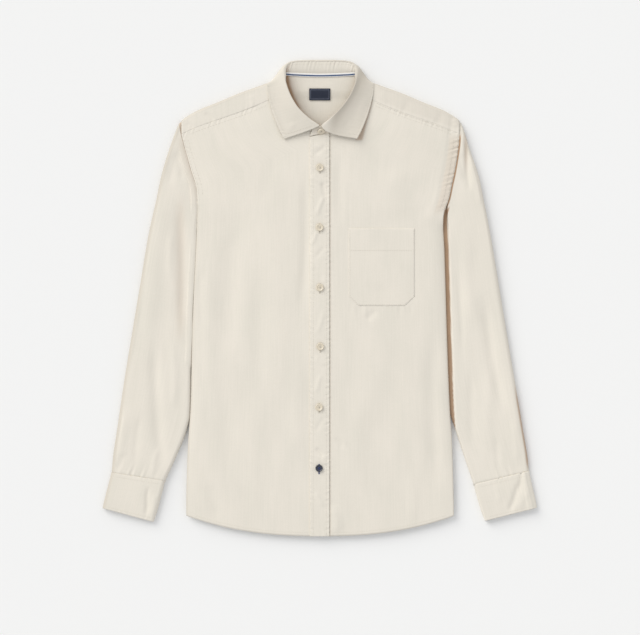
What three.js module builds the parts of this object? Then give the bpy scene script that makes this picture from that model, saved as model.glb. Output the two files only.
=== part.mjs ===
// A long-sleeved cotton flannel shirt, buttoned and laid flat on its back with its sleeves down beside it.
// Millimetres. +X is to the right as the shirt is looked down on, +Y runs to the collar, +Z is up.
// The underside rests on the plane z = 0, and the middle of that rest is the origin.
import * as THREE from 'three';

// Cloth
const clothWall = 1.3;
const stiffWall = 1.8;
const trimWall = 1.0;
const seamGap = 0.5;
const layGap = 0.4;

// Hem: its lowest point, and how it curves up towards the side seams
const hemY = -404.6;
const hemRise = 34.6;
const hemPower = 2.375;
const hemHalfWidth = 227;

// Side seams: the front rolls down to the seam, the back lifts up to it
const seamHeight = 9;
const backEdgeHeight = 6.2;
const frontRoll = 24;
const backLiftFrom = 27;
const backLiftTo = 13;
const backLift = 4.2;
const backCurl = 7;
const rollStart = 30;
const leftUnderarmY = 168;
const rightUnderarmY = 141;

// Front: the half width that its heights and its rolled edge are measured over, how far the under front
// reaches below the lap, and where the centre edge of each front ends at the neck
const frontHalfWidth = 225;
const lapRight = 12;
const underLapTopY = 275.6;
const placketSideTopY = 281.2;
const bodyCornerY = -370;
const placketLeft = -17.9;
const placketRight = 15.3;
const placketTopY = 274.4;
const placketTopSlope = 0.19;
const pocketLeft = 47.6;
const pocketRight = 159.8;
const pocketTop = 118.7;
const pocketBottom = -12.4;
const pocketCornerWide = 18;
const pocketCornerHigh = 16;
const pocketInnerShares = [0.4, 0.62];

// Yoke
const yokeSeamY = 285;
const shoulderRound = 5;
const shoulderEndY = 279;
const shoulderTopY = 360;
const neckSeamBlend = 6;
const collarUnderYoke = { lift: 2.3, startY: 338, overY: 18, outX: 102, overX: 12 };
const yokeLowerEndX = 238;
const yokeUpperEndX = 236.4;
const yokeEndShares = [1, 0.88, 0.76, 0.64, 0.53, 0.43, 0.36];
const yokeNeckCorner = { baseX: 77, x: 76, y: 342.5, z: 13.4, turn: 1 };
const yokeNeckBaseX = 66;

// Yoke columns from the side of the neck to the middle of its back: how far they lie outside, behind and
// below the neck seam. turn is 1 where the column goes over the shoulder and 0 where it runs straight.
const yokeNeckColumns = [
  { out: 4.6, behind: 0.2, below: 0, turn: 1 },
  { out: 4.6, behind: 0.2, below: 2.2, turn: 0.3 },
  { out: 2.76, behind: 1.856, below: 2.7, turn: 0 },
  { out: 0, behind: 0.2, below: 1.6, turn: 0 },
  { out: 0, behind: 0.2, below: 1.3, turn: 0 },
  { out: 0, behind: 0.2, below: 1.3, turn: 0 },
];

// Rows of the yoke: the lower run, the turn round the shoulder in half turns, and the upper run
const yokeStraightShares = [0, 0.3, 0.55, 0.7, 0.78, 0.84, 0.89, 0.93, 0.965, 1];
const yokeLowerShares = [0, 0.45, 0.8, 1];
const yokeTurns = [-0.25, 0, 0.25, 0.5];
const yokeUpperShares = [0.5, 1];
const yokeSeamRise = 0.7;

// Collar: the fronts' neck edge clears the seam by neckClear. The leaf lies on the fronts up to leafOnFrontY
// and falls in a curve. At the back it turns down within leafBackFall of its width and bulges a little.
const neckClear = 1.6;
const neckTopY = 343;
const neckStartX = 14;
const leafEdgeLift = 1.3;
const leafOnFrontY = 358;
const leafWrapFrom = 0.12;
const leafWrapOver = 0.75;
const leafFallPower = 1.6;
const leafBackStart = 0.14;
const leafBackFall = 0.3;
const leafBackPower = 1.5;
const leafBulge = 1.2;
const leafDownShares = [0, 0.09, 0.18, 0.32, 0.5, 0.75, 1];

// Collar stand: its foot is behindSeam inside the seam, and its top lies under and inside the leaf's fold
const standBehindSeam = 0.3;
const standUnderLeaf = 1;
const standUnderFold = 0.9;
const standInsideSide = 4.8;
const standInsideBack = 2.8;
const standBulge = 0.5;
const standUpShares = [0, 0.33, 0.67, 1];

// Buttons
const buttonRadius = 6.2;
const buttonHigh = 2.4;
const buttonProfile = [
  { out: 0, up: 0 },
  { out: 0.8, up: 0 },
  { out: 1, up: 0.5 },
  { out: 0.86, up: 1 },
  { out: 0.62, up: 0.7 },
  { out: 0, up: 0.7 },
];
const bandButton = { x: 0.9, y: 283.4, under: 23.2 };
const frontButtons = [
  { x: -1.0, y: 221.9 },
  { x: -1.4, y: 120.5 },
  { x: -1.0, y: 18.5 },
  { x: -0.3, y: -81.6 },
  { x: -2.2, y: -184.5 },
  { x: -2.4, y: -288.2 },
];

// Label and tape at the back of the neck
const trimLift = 0.2;
const tapeUpperLift = 1.1;
const tapeFromY = 374.8;
const labelBox = { left: -19.2, right: 16.7, bottom: 338.1, top: 357.9 };
const tapeBelow = 4.2;
const tapeAbove = 1.6;

// Half widths of the body: side seam up to the underarm, armhole above it
const bodyEdge = [
  { y: -410, left: 227.5, right: 227 },
  { y: -342, left: 228.4, right: 226.6 },
  { y: -240, left: 225, right: 223.7 },
  { y: -186, left: 221.3, right: 220 },
  { y: -87, left: 218.5, right: 216 },
  { y: 0, left: 215.7, right: 213.4 },
  { y: 82, left: 211.7, right: 211 },
  { y: 141, left: 209.6, right: 209 },
  { y: 168, left: 209.3, right: 217.9 },
  { y: 192, left: 211.5, right: 223 },
  { y: 215, left: 219, right: 228 },
  { y: 257, left: 230.9, right: 234.7 },
  { y: 280, left: 236.8, right: 236.8 },
  { y: 300, left: 240.4, right: 239.6 },
];

// Height of the front above the table, on the centre line and at the sides
const frontHeight = [
  { y: -410, centre: 9.6, side: 8.8 },
  { y: -360, centre: 11.4, side: 9.8 },
  { y: -250, centre: 15, side: 12 },
  { y: -100, centre: 18, side: 14 },
  { y: 100, centre: 19, side: 14.4 },
  { y: 220, centre: 19, side: 13.2 },
  { y: 285, centre: 18.2, side: 12 },
  { y: 320, centre: 15.5, side: 11.6 },
  { y: 365, centre: 12, side: 11 },
];

// Shoulder: the fold at its top and the seam where the yoke meets the fronts
const shoulderLine = [
  { x: 62, fold: 365.5, seam: 346.5 },
  { x: 75, fold: 364, seam: 341.5 },
  { x: 90, fold: 362.6, seam: 335.5 },
  { x: 108, fold: 360.8, seam: 327.5 },
  { x: 142, fold: 347.7, seam: 314 },
  { x: 176, fold: 333.6, seam: 302.5 },
  { x: 210, fold: 320, seam: 290.5 },
  { x: 232, fold: 306.9, seam: 281 },
  { x: 240, fold: 299.5, seam: 277 },
];

// Neck stations from the centre front round to the centre back: the neck seam, the collar's fold and the
// collar leaf's outer edge. wrap is 0 where the leaf lies on the front and 1 where it lies under the yoke.
const neckStations = [
  { seamX: 2, seamY: 278, seamZ: 18.3, foldX: 1.8, foldY: 292.6, foldZ: 30, edgeX: 62, edgeY: 271.8, wrap: 0 },
  { seamX: 24, seamY: 286, seamZ: 18, foldX: 14, foldY: 301.5, foldZ: 30, edgeX: 70.5, edgeY: 287, wrap: 0 },
  { seamX: 46, seamY: 304, seamZ: 17, foldX: 31, foldY: 320, foldZ: 29, edgeX: 80, edgeY: 311, wrap: 0 },
  { seamX: 61, seamY: 328, seamZ: 15, foldX: 46.5, foldY: 341, foldZ: 27, edgeX: 87, edgeY: 335, wrap: 0 },
  { seamX: 69, seamY: 352, seamZ: 12.4, foldX: 58, foldY: 363, foldZ: 23.5, edgeX: 90.6, edgeY: 356, wrap: 0 },
  { seamX: 67, seamY: 367, seamZ: 9.5, foldX: 62, foldY: 381, foldZ: 18.5, edgeX: 92, edgeY: 369.5, wrap: 0.3 },
  { seamX: 62, seamY: 374.5, seamZ: 7, foldX: 60, foldY: 394, foldZ: 14, edgeX: 83, edgeY: 363.5, wrap: 0.85 },
  { seamX: 46, seamY: 380, seamZ: 5, foldX: 49, foldY: 402.5, foldZ: 11.2, edgeX: 62, edgeY: 361.5, wrap: 1 },
  { seamX: 24, seamY: 381.8, seamZ: 4.4, foldX: 25, foldY: 405.2, foldZ: 10.2, edgeX: 31, edgeY: 360.8, wrap: 1 },
  { seamX: 0, seamY: 382, seamZ: 4.3, foldX: 0, foldY: 405.6, foldZ: 10, edgeX: 0, edgeY: 360.5, wrap: 1 },
];

// Middle of the neck opening
const neckMiddleY = 345;

// Buttoned ends of the collar stand: the one on the left goes under, the one on the right over it
const standUnderEnd = { seamX: 11, seamY: 284.5, seamZ: 18.3, foldX: 9, foldY: 291.5, foldZ: 20.6 };
const standUnderTurn = { seamX: -10, seamY: 284, seamZ: 18.3, foldX: -2, foldY: 293, foldZ: 20.9 };
const standOverTurn = { seamX: 8, seamY: 280.8, seamZ: 21, foldX: 2.5, foldY: 293.6, foldZ: 23.7 };
const standOverEnd = { seamX: -17.9, seamY: 275.4, seamZ: 21, foldX: -13, foldY: 289.5, foldZ: 23.5 };

// Sleeves, from the armhole to the cuff seam. Each ring runs from its inner edge to its outer edge.
// lip is the height of the inner edge, which is tucked under the side of the body from the fourth ring on.
const sleeveRings = {
  left: [
    { innerX: 211.4, innerY: 167.5, outerX: 241.2, outerY: 300, high: 12, lip: 12 },
    { innerX: 211.2, innerY: 150, outerX: 246, outerY: 286, high: 13, lip: 6.5 },
    { innerX: 211.6, innerY: 132, outerX: 259.3, outerY: 249, high: 13.5, lip: 4.2 },
    { innerX: 204, innerY: 108, outerX: 271.2, outerY: 208.3, high: 14, lip: 3.5 },
    { innerX: 202.5, innerY: 80, outerX: 279.7, outerY: 167.5, high: 14, lip: 3.5 },
    { innerX: 203, innerY: 40, outerX: 293.3, outerY: 106.3, high: 13.5, lip: 3.5 },
    { innerX: 205, innerY: -15, outerX: 306.9, outerY: 24.7, high: 13, lip: 3.5 },
    { innerX: 207, innerY: -80, outerX: 320.5, outerY: -57, high: 12.5, lip: 3.5 },
    { innerX: 210, innerY: -150, outerX: 334, outerY: -138.6, high: 12, lip: 3.5 },
    { innerX: 227, innerY: -222, outerX: 346, outerY: -220.2, high: 11.5, lip: 4.5 },
    { innerX: 246, innerY: -270, outerX: 352.5, outerY: -262, high: 11, lip: 5 },
    { innerX: 264.5, innerY: -309.8, outerX: 355.6, outerY: -295.1, high: 10.5, lip: 5 },
  ],
  right: [
    { innerX: 210.6, innerY: 140.6, outerX: 240.4, outerY: 300, high: 12, lip: 12 },
    { innerX: 211.4, innerY: 124, outerX: 244.3, outerY: 286, high: 13, lip: 6.5 },
    { innerX: 211.8, innerY: 106, outerX: 256, outerY: 249, high: 13.5, lip: 4.2 },
    { innerX: 203.5, innerY: 84, outerX: 269.5, outerY: 208.3, high: 14, lip: 3.5 },
    { innerX: 202, innerY: 60, outerX: 278, outerY: 167.5, high: 14, lip: 3.5 },
    { innerX: 201.5, innerY: 26, outerX: 289.9, outerY: 106.3, high: 13.5, lip: 3.5 },
    { innerX: 203, innerY: -22, outerX: 303.5, outerY: 24.7, high: 13, lip: 3.5 },
    { innerX: 205, innerY: -84, outerX: 317, outerY: -57, high: 12.5, lip: 3.5 },
    { innerX: 208, innerY: -152, outerX: 330.7, outerY: -138.6, high: 12, lip: 3.5 },
    { innerX: 230, innerY: -224, outerX: 344.3, outerY: -220, high: 11.5, lip: 4.5 },
    { innerX: 246, innerY: -273, outerX: 351.5, outerY: -262, high: 11, lip: 5 },
    { innerX: 260.6, innerY: -315.4, outerX: 355.1, outerY: -292.5, high: 10.5, lip: 5 },
  ],
};
const sleeveCrevice = { left: 2, right: 6.5 };
const sleeveRise = 10;
const sleeveRound = 8;
const sleeveRiseShares = [0.55, 0.22, 0.04];
const tubeRoundAngles = [-0.25, 0, 0.25];
const innerRound = 1.6;
const innerRoundOfLip = 0.4;
const innerClear = 0.6;
const lipUpper = 0.72;
const lipLower = 0.28;

// The lip at which a sleeve's inner edge starts to be tucked, and the one at which it is tucked
const lipOpen = 12;
const lipTucked = 6;
const lipCovered = 8;
const lipCoveredOver = 2;
const armholeRings = 2;
const armholeReach = 3;

// Cuffs, from the seam to the open end
const cuffRings = {
  left: [
    { innerX: 264.8, innerY: -310.4, outerX: 356, outerY: -295.9, high: 10.5, lip: 5 },
    { innerX: 268.5, innerY: -332, outerX: 360.6, outerY: -317, high: 10.8, lip: 5 },
    { innerX: 274.5, innerY: -360, outerX: 366.4, outerY: -342.6, high: 10.2, lip: 5 },
    { innerX: 279.5, innerY: -378, outerX: 369.6, outerY: -358, high: 9.5, lip: 4.8 },
  ],
  right: [
    { innerX: 260.8, innerY: -316, outerX: 355.4, outerY: -293.2, high: 10.5, lip: 5 },
    { innerX: 266.5, innerY: -338, outerX: 360.2, outerY: -316, high: 10.8, lip: 5 },
    { innerX: 273.5, innerY: -361, outerX: 365.8, outerY: -340, high: 10.2, lip: 5 },
    { innerX: 280.2, innerY: -378.5, outerX: 369, outerY: -356, high: 9.5, lip: 4.8 },
  ],
};

// Largest folds of the fronts, each along a line on the cloth: below 0 a trough, above 0 a ridge
const frontFolds = [
  { fromX: -150, fromY: 170, toX: -152, toY: -110, wide: 20, high: -2.6 },
  { fromX: -26, fromY: 235, toX: -28, toY: -40, wide: 9, high: -2.2 },
  { fromX: -78, fromY: 190, toX: -72, toY: -200, wide: 22, high: 1.6 },
  { fromX: -186, fromY: 140, toX: -188, toY: -240, wide: 15, high: 1.2 },
  { fromX: 190, fromY: -20, toX: 197, toY: -345, wide: 14, high: -2.4 },
  { fromX: 94, fromY: -16, toX: 78, toY: -40, wide: 6, high: -1.2 },
  { fromX: 18, fromY: -350, toX: 33, toY: -402, wide: 9, high: 1.6 },
  { fromX: 120, fromY: 230, toX: 140, toY: 130, wide: 26, high: 1.2 },
];

// Largest folds of the sleeves
const sleeveFolds = {
  left: [
    { fromX: -240, fromY: 175, toX: -234, toY: -50, wide: 9, high: -4 },
    { fromX: -288, fromY: -55, toX: -268, toY: -300, wide: 10, high: -2.8 },
    { fromX: -262, fromY: 200, toX: -300, toY: -130, wide: 14, high: 1.2 },
    { fromX: -332, fromY: -180, toX: -340, toY: -300, wide: 8, high: 1 },
  ],
  right: [
    { fromX: 250, fromY: 276, toX: 252, toY: 180, wide: 7, high: -2.6 },
    { fromX: 240, fromY: 130, toX: 262, toY: -55, wide: 11, high: 1.6 },
    { fromX: 271, fromY: 15, toX: 314, toY: -206, wide: 10, high: -3.2 },
    { fromX: 290, fromY: -90, toX: 282, toY: -290, wide: 12, high: 1.2 },
  ],
};

// How many steps each grid has
const frontColumns = 7;
const frontRollColumns = 4;
const frontRows = 26;
const backColumns = 8;
const backEdgeColumns = 4;
const backRows = 14;
const stationSteps = 2;
const sleeveSteps = 2;
const cuffSteps = 1;
const placketRows = 34;
const placketColumns = 3;
const pocketRows = 7;
const outerEdgeSteps = 40;
const neckSteps = 3;
const tubeBottomSteps = 6;
const tubeTopSteps = 7;
const buttonSides = 16;

const clothColour = 0xe2dbcd;
const cloth = { color: clothColour, roughness: 0.95, metalness: 0 };
const navyCloth = { color: 0x1d2740, roughness: 0.8, metalness: 0 };
const creamButton = { color: 0xd9cdb8, roughness: 0.35, metalness: 0 };
const navyButton = { color: 0x1a2134, roughness: 0.35, metalness: 0 };

const point = (x, y, z) => new THREE.Vector3(x, y, z);
const mix = (from, to, share) => from + (to - from) * share;
const clamp = (value) => Math.min(Math.max(value, 0), 1);
const smooth = (value) => clamp(value) ** 2 * (3 - 2 * clamp(value));
const quarterRound = (share) => Math.sqrt(1 - (1 - clamp(share)) ** 2);
const sideName = (x) => (x < 0 ? 'left' : 'right');
const signOf = (side) => (side === 'left' ? -1 : 1);

// A smooth value from one column of a table whose rows rise by the column called key
function tableValue(rows, key, at, column) {
  let row = 0;
  while (row < rows.length - 2 && rows[row + 1][key] < at) {
    row += 1;
  }
  const here = rows[row];
  const next = rows[row + 1];
  const span = next[key] - here[key];
  const share = clamp((at - here[key]) / span);
  const slope = (index) => {
    const low = rows[Math.max(index - 1, 0)];
    const high = rows[Math.min(index + 1, rows.length - 1)];
    return (high[column] - low[column]) / (high[key] - low[key]);
  };
  const square = share * share;
  const cube = square * share;
  return (2 * cube - 3 * square + 1) * here[column] + (cube - 2 * square + share) * span * slope(row)
    + (3 * square - 2 * cube) * next[column] + (cube - square) * span * slope(row + 1);
}

// Rows between the rows of a table, each column running smoothly from row to row
function refine(rows, steps) {
  const numbered = rows.map((row, index) => ({ ...row, index }));
  const columns = Object.keys(rows[0]);
  const out = [];
  for (let step = 0; step <= (rows.length - 1) * steps; step += 1) {
    const row = {};
    for (const column of columns) {
      row[column] = tableValue(numbered, 'index', step / steps, column);
    }
    out.push(row);
  }
  return out;
}

// A line of x, y points, read at a share of its length
function pathReader(points) {
  const lengths = [0];
  for (let index = 1; index < points.length; index += 1) {
    const [before, here] = [points[index - 1], points[index]];
    lengths.push(lengths[index - 1] + Math.hypot(here.x - before.x, here.y - before.y));
  }
  const total = lengths[lengths.length - 1];
  return (share) => {
    const along = share * total;
    let index = 1;
    while (index < points.length - 1 && lengths[index] < along) {
      index += 1;
    }
    const part = (along - lengths[index - 1]) / (lengths[index] - lengths[index - 1]);
    return {
      x: mix(points[index - 1].x, points[index].x, part),
      y: mix(points[index - 1].y, points[index].y, part),
    };
  };
}

// How far folds lift or sink the cloth at a place
function foldHeight(folds, x, y) {
  let height = 0;
  for (const fold of folds) {
    const runX = fold.toX - fold.fromX;
    const runY = fold.toY - fold.fromY;
    const length = Math.hypot(runX, runY);
    const along = ((x - fold.fromX) * runX + (y - fold.fromY) * runY) / length;
    const across = ((x - fold.fromX) * runY - (y - fold.fromY) * runX) / length;
    const fade = smooth(along / (0.3 * length)) * smooth((length - along) / (0.3 * length));
    height += fold.high * fade * Math.exp(-((across / fold.wide) ** 2));
  }
  return height;
}

const underarmY = (side) => (side === 'left' ? leftUnderarmY : rightUnderarmY);
const edgeHalfWidth = (side, y) => tableValue(bodyEdge, 'y', y, side);
const hemAt = (x) => hemY + hemRise * (Math.abs(x) / hemHalfWidth) ** hemPower;
const foldLine = (x) => tableValue(shoulderLine, 'x', Math.abs(x), 'fold');
const seamLine = (x) => tableValue(shoulderLine, 'x', Math.abs(x), 'seam');
const sideRoll = (side, y) => smooth((underarmY(side) - y) / rollStart);

// Top of the front at a place
function frontTop(x, y) {
  const side = sideName(x);
  const centre = tableValue(frontHeight, 'y', y, 'centre');
  const outer = tableValue(frontHeight, 'y', y, 'side');
  const flat = mix(centre, outer, clamp(Math.abs(x) / frontHalfWidth) ** 2) + foldHeight(frontFolds, x, y);
  const inward = edgeHalfWidth(side, y) - Math.abs(x);
  const rolled = mix(seamHeight, flat, quarterRound(inward / frontRoll));
  return mix(flat, rolled, sideRoll(side, y));
}

// Underside of the back at a place
function backBottom(x, y) {
  const side = sideName(x);
  const inward = edgeHalfWidth(side, y) - Math.abs(x);
  const lift = backLift * smooth((backLiftFrom - inward) / (backLiftFrom - backLiftTo));
  const curl = (backEdgeHeight - backLift) * (1 - quarterRound(inward / backCurl));
  return (lift + curl) * sideRoll(side, y);
}

// Underside of the yoke, which lies on the back of the collar
function yokeBottom(x, y) {
  const under = collarUnderYoke;
  const behind = smooth((y - under.startY) / under.overY);
  return under.lift * behind * smooth((under.outX - Math.abs(x)) / under.overX);
}

// A closed body from outer points, inner points and the rim between them. round joins the last column to
// the first.
function closedBody(outer, inner, round) {
  const rows = outer.length;
  const columns = outer[0].length;
  const vertices = [];
  const triangles = [];
  for (const grid of [outer, inner]) {
    for (const row of grid) {
      for (const vertex of row) {
        vertices.push(vertex.x, vertex.y, vertex.z);
      }
    }
  }
  const at = (layer, row, column) => layer * rows * columns + row * columns + (column % columns);
  const quad = (a, b, c, d) => triangles.push(a, b, c, a, c, d);
  const lastColumn = round ? columns : columns - 1;
  for (let row = 0; row < rows - 1; row += 1) {
    for (let column = 0; column < lastColumn; column += 1) {
      quad(at(0, row, column), at(0, row, column + 1), at(0, row + 1, column + 1), at(0, row + 1, column));
      quad(at(1, row, column), at(1, row + 1, column), at(1, row + 1, column + 1), at(1, row, column + 1));
    }
    if (!round) {
      const last = columns - 1;
      quad(at(0, row, 0), at(0, row + 1, 0), at(1, row + 1, 0), at(1, row, 0));
      quad(at(0, row + 1, last), at(0, row, last), at(1, row, last), at(1, row + 1, last));
    }
  }
  for (let column = 0; column < lastColumn; column += 1) {
    const last = rows - 1;
    quad(at(0, 0, column + 1), at(0, 0, column), at(1, 0, column), at(1, 0, column + 1));
    quad(at(0, last, column), at(0, last, column + 1), at(1, last, column + 1), at(1, last, column));
  }
  const geometry = new THREE.BufferGeometry();
  geometry.setAttribute('position', new THREE.Float32BufferAttribute(vertices, 3));
  geometry.setIndex(triangles);
  return geometry;
}

// Outer points moved in by a thickness, square to the cloth. facing is 1 where columns run to the right as
// rows run away, seen from outside, and -1 where they run to the left.
function movedIn(grid, thickness, facing) {
  return grid.map((row, rowIndex) => row.map((here, column) => {
    const before = grid[Math.max(rowIndex - 1, 0)][column];
    const after = grid[Math.min(rowIndex + 1, grid.length - 1)][column];
    const left = row[Math.max(column - 1, 0)];
    const right = row[Math.min(column + 1, row.length - 1)];
    const normal = right.clone().sub(left).cross(after.clone().sub(before)).normalize();
    return here.clone().addScaledVector(normal, -thickness * facing);
  }));
}

// One layer of cloth from its outer points
function clothWallFrom(grid, thickness, facing = 1) {
  const inner = movedIn(grid, thickness, facing);
  const geometry = closedBody(grid, inner, false);
  if (facing < 0) {
    geometry.setIndex(Array.from(geometry.index.array).reverse());
  }
  return geometry;
}

function piece(name, geometry, finish) {
  geometry.computeVertexNormals();
  const mesh = new THREE.Mesh(geometry, new THREE.MeshStandardMaterial(finish));
  mesh.name = name;
  return mesh;
}

// A patch between four edges, each read by its share, with uneven steps across it
function patch(bottom, top, inner, outer, acrossShares, rows, heightAt) {
  const corners = [bottom(0), bottom(1), top(0), top(1)];
  const grid = [];
  for (let row = 0; row <= rows; row += 1) {
    const up = row / rows;
    grid.push(acrossShares.map((across) => {
      const place = {};
      for (const axis of ['x', 'y']) {
        const [low, lowEnd, high, highEnd] = corners.map((corner) => corner[axis]);
        place[axis] = mix(bottom(across)[axis], top(across)[axis], up)
          + mix(inner(up)[axis], outer(up)[axis], across)
          - mix(mix(low, lowEnd, across), mix(high, highEnd, across), up);
      }
      return point(place.x, place.y, heightAt(place.x, place.y));
    }));
  }
  return grid;
}

// Points up the outer edge of a front or the back, from the hem to a height
function outerEdge(side, topY) {
  const startX = edgeHalfWidth(side, bodyCornerY);
  const points = [];
  for (let step = 0; step <= outerEdgeSteps; step += 1) {
    const y = mix(hemAt(startX), topY, step / outerEdgeSteps);
    points.push({ x: signOf(side) * edgeHalfWidth(side, y), y });
  }
  return pathReader(points);
}

// Neck stations of one side that lie between the centre front and the yoke seam, as points of the fronts
function frontNeckPoints(side) {
  const onFront = (row) => row.seamY < neckTopY && row.seamX > neckStartX;
  const rows = refine(neckStations.slice(0, 5), neckSteps).filter(onFront);
  return rows.map((row) => ({ x: signOf(side) * (row.seamX + neckClear), y: row.seamY - neckClear }));
}

// Shares of the way across a panel: even steps, then closer ones over its rolled edge
function acrossShares(columns, edgeColumns, edgeShare) {
  const shares = [];
  for (let column = 0; column < columns; column += 1) {
    shares.push((column / columns) * (1 - edgeShare));
  }
  for (let column = 0; column <= edgeColumns; column += 1) {
    const turn = (column / edgeColumns) * (Math.PI / 2);
    shares.push(1 - edgeShare * (1 - Math.sin(turn)));
  }
  return shares;
}

// A front: its centre edge goes up from the hem and then round the neck, its outer edge up the side and the
// armhole, and its top is the yoke seam.
function frontPanel(side, centreX, centreTopY) {
  const sign = signOf(side);
  const neck = frontNeckPoints(side);
  const neckTop = neck[neck.length - 1];
  const shoulderX = edgeHalfWidth(side, shoulderEndY);
  const innerPath = pathReader([{ x: centreX, y: hemAt(centreX) }, { x: centreX, y: centreTopY }, ...neck]);
  const outerPath = outerEdge(side, seamLine(shoulderX) - seamGap);
  const cornerX = sign * edgeHalfWidth(side, bodyCornerY);
  const bottomPath = (share) => {
    const x = mix(centreX, cornerX, share);
    return { x, y: hemAt(x) };
  };
  const seamAt = (share) => {
    const x = mix(neckTop.x, sign * shoulderX, share);
    const onSeam = seamLine(x) - seamGap;
    return { x, y: mix(neckTop.y, onSeam, smooth(share * neckSeamBlend)) };
  };
  const shares = acrossShares(frontColumns, frontRollColumns, frontRoll / frontHalfWidth);
  const grid = patch(bottomPath, seamAt, innerPath, outerPath, shares, frontRows, frontTop);
  return clothWallFrom(grid, clothWall, sign);
}

// The back: two halves that meet on the centre line, each turned up at its outer edge
function backPanel() {
  const shares = acrossShares(backColumns, backEdgeColumns, backLiftFrom / frontHalfWidth);
  const half = (side) => {
    const cornerX = signOf(side) * edgeHalfWidth(side, bodyCornerY);
    const shoulderX = signOf(side) * edgeHalfWidth(side, yokeSeamY);
    const topY = yokeSeamY - seamGap;
    const bottomPath = (share) => ({ x: share * cornerX, y: hemAt(share * cornerX) });
    const topPath = (share) => ({ x: share * shoulderX, y: topY });
    const innerPath = (share) => ({ x: 0, y: mix(hemY, topY, share) });
    return patch(bottomPath, topPath, innerPath, outerEdge(side, topY), shares, backRows, backBottom);
  };
  const left = half('left');
  const right = half('right');
  const grid = left.map((row, index) => [...row.slice(1).reverse(), ...right[index]]);
  return clothWallFrom(grid, clothWall, -1);
}

// The yoke: from its seam with the back, under the neck, over the top of each shoulder to the fronts
function yoke() {
  const wrapped = yokeEndShares.map((share) => {
    const x = share * yokeUpperEndX;
    return { baseX: share * yokeLowerEndX, x, y: seamLine(x), z: frontTop(x, seamLine(x)), turn: 1 };
  });
  const neckRows = neckStations.slice(-yokeNeckColumns.length);
  const neck = yokeNeckColumns.map((column, index) => ({
    baseX: mix(yokeNeckBaseX, 0, index / (yokeNeckColumns.length - 1)),
    x: neckRows[index].seamX + column.out,
    y: neckRows[index].seamY - column.behind,
    z: neckRows[index].seamZ - column.below,
    turn: column.turn,
  }));
  const columns = [...wrapped, yokeNeckCorner, ...neck];
  const columnPoints = (sign, column) => {
    const foldX = column.x;
    const foldY = foldLine(foldX);
    const top = Math.max(frontTop(foldX, Math.min(foldY, shoulderTopY)), column.z);
    const turnY = foldY - shoulderRound;
    const low = yokeBottom(foldX, turnY);
    const runs = yokeLowerShares.map((share) => ({ y: mix(yokeSeamY, turnY, share), z: null, share }));
    const arc = yokeTurns.map((halfTurns) => {
      const angle = halfTurns * Math.PI;
      return {
        y: turnY + shoulderRound * Math.cos(angle),
        z: mix(low, top, (1 + Math.sin(angle)) / 2),
        share: 1,
      };
    });
    const upper = yokeUpperShares.map((share) => ({
      y: mix(turnY, column.y, share),
      z: mix(top, column.z, share),
      share: 1,
    }));
    return [...runs, ...arc, ...upper].map((place, row) => {
      const straight = yokeStraightShares[row];
      const outward = column.turn > 0 ? place.share : straight;
      const x = mix(column.baseX, column.x, outward);
      const y = mix(mix(yokeSeamY, column.y, straight), place.y, column.turn);
      const under = yokeBottom(x, y);
      const turned = place.z === null ? under : place.z;
      const flat = mix(under, column.z, smooth((straight - yokeSeamRise) / (1 - yokeSeamRise)));
      return point(sign * x, y, mix(flat, turned, column.turn));
    });
  };
  const left = columns.map((column) => columnPoints(-1, column));
  const right = columns.slice(0, -1).reverse().map((column) => columnPoints(1, column));
  const all = [...left, ...right];
  const grid = all[0].map((unused, row) => all.map((column) => column[row]));
  return clothWallFrom(grid, clothWall, -1);
}

// Neck stations of both sides, from the centre front on the left round the back to the right
function roundTheNeck(leftEnds, rightEnds) {
  const mirrored = (row, sign) => {
    const out = { ...row };
    for (const column of ['seamX', 'foldX', 'edgeX']) {
      out[column] = sign * row[column];
    }
    return out;
  };
  const left = neckStations.map((row) => mirrored(row, -1));
  const right = neckStations.slice(0, -1).reverse().map((row) => mirrored(row, 1));
  const filled = (row) => ({ edgeX: 0, edgeY: 0, wrap: 0, ...row });
  const start = leftEnds.length > 0 ? left.slice(1) : left;
  const end = rightEnds.length > 0 ? right.slice(0, -1) : right;
  return refine([...leftEnds.map(filled), ...start, ...end, ...rightEnds.map(filled)], stationSteps);
}

// The collar leaf falls from the fold over the fronts, turns round the top of the shoulders and goes under
// the yoke at the back.
function collarLeaf() {
  const rows = roundTheNeck([], []);
  const sections = rows.map((row) => leafDownShares.map((down) => {
    const wrap = clamp(row.wrap);
    const onFront = frontTop(row.edgeX, Math.min(row.edgeY, leafOnFrontY));
    const edgeOnTop = onFront + layGap + stiffWall + leafEdgeLift;
    const edgeZ = mix(edgeOnTop, 0, smooth((wrap - leafWrapFrom) / leafWrapOver));
    const outward = mix(down, Math.max(0, (down - leafBackStart) / (1 - leafBackStart)), wrap);
    const backFall = Math.max(0, 1 - down / leafBackFall) ** leafBackPower;
    const fall = mix((1 - down) ** leafFallPower, backFall, wrap);
    const bulge = wrap * leafBulge * Math.sin(Math.PI * clamp(down / leafBackFall));
    return point(
      mix(row.foldX, row.edgeX, outward),
      mix(row.foldY, row.edgeY, outward) + bulge,
      mix(edgeZ, row.foldZ, fall),
    );
  }));
  const grid = leafDownShares.map((unused, row) => sections.map((section) => section[row]));
  return clothWallFrom(grid, stiffWall, 1);
}

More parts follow.
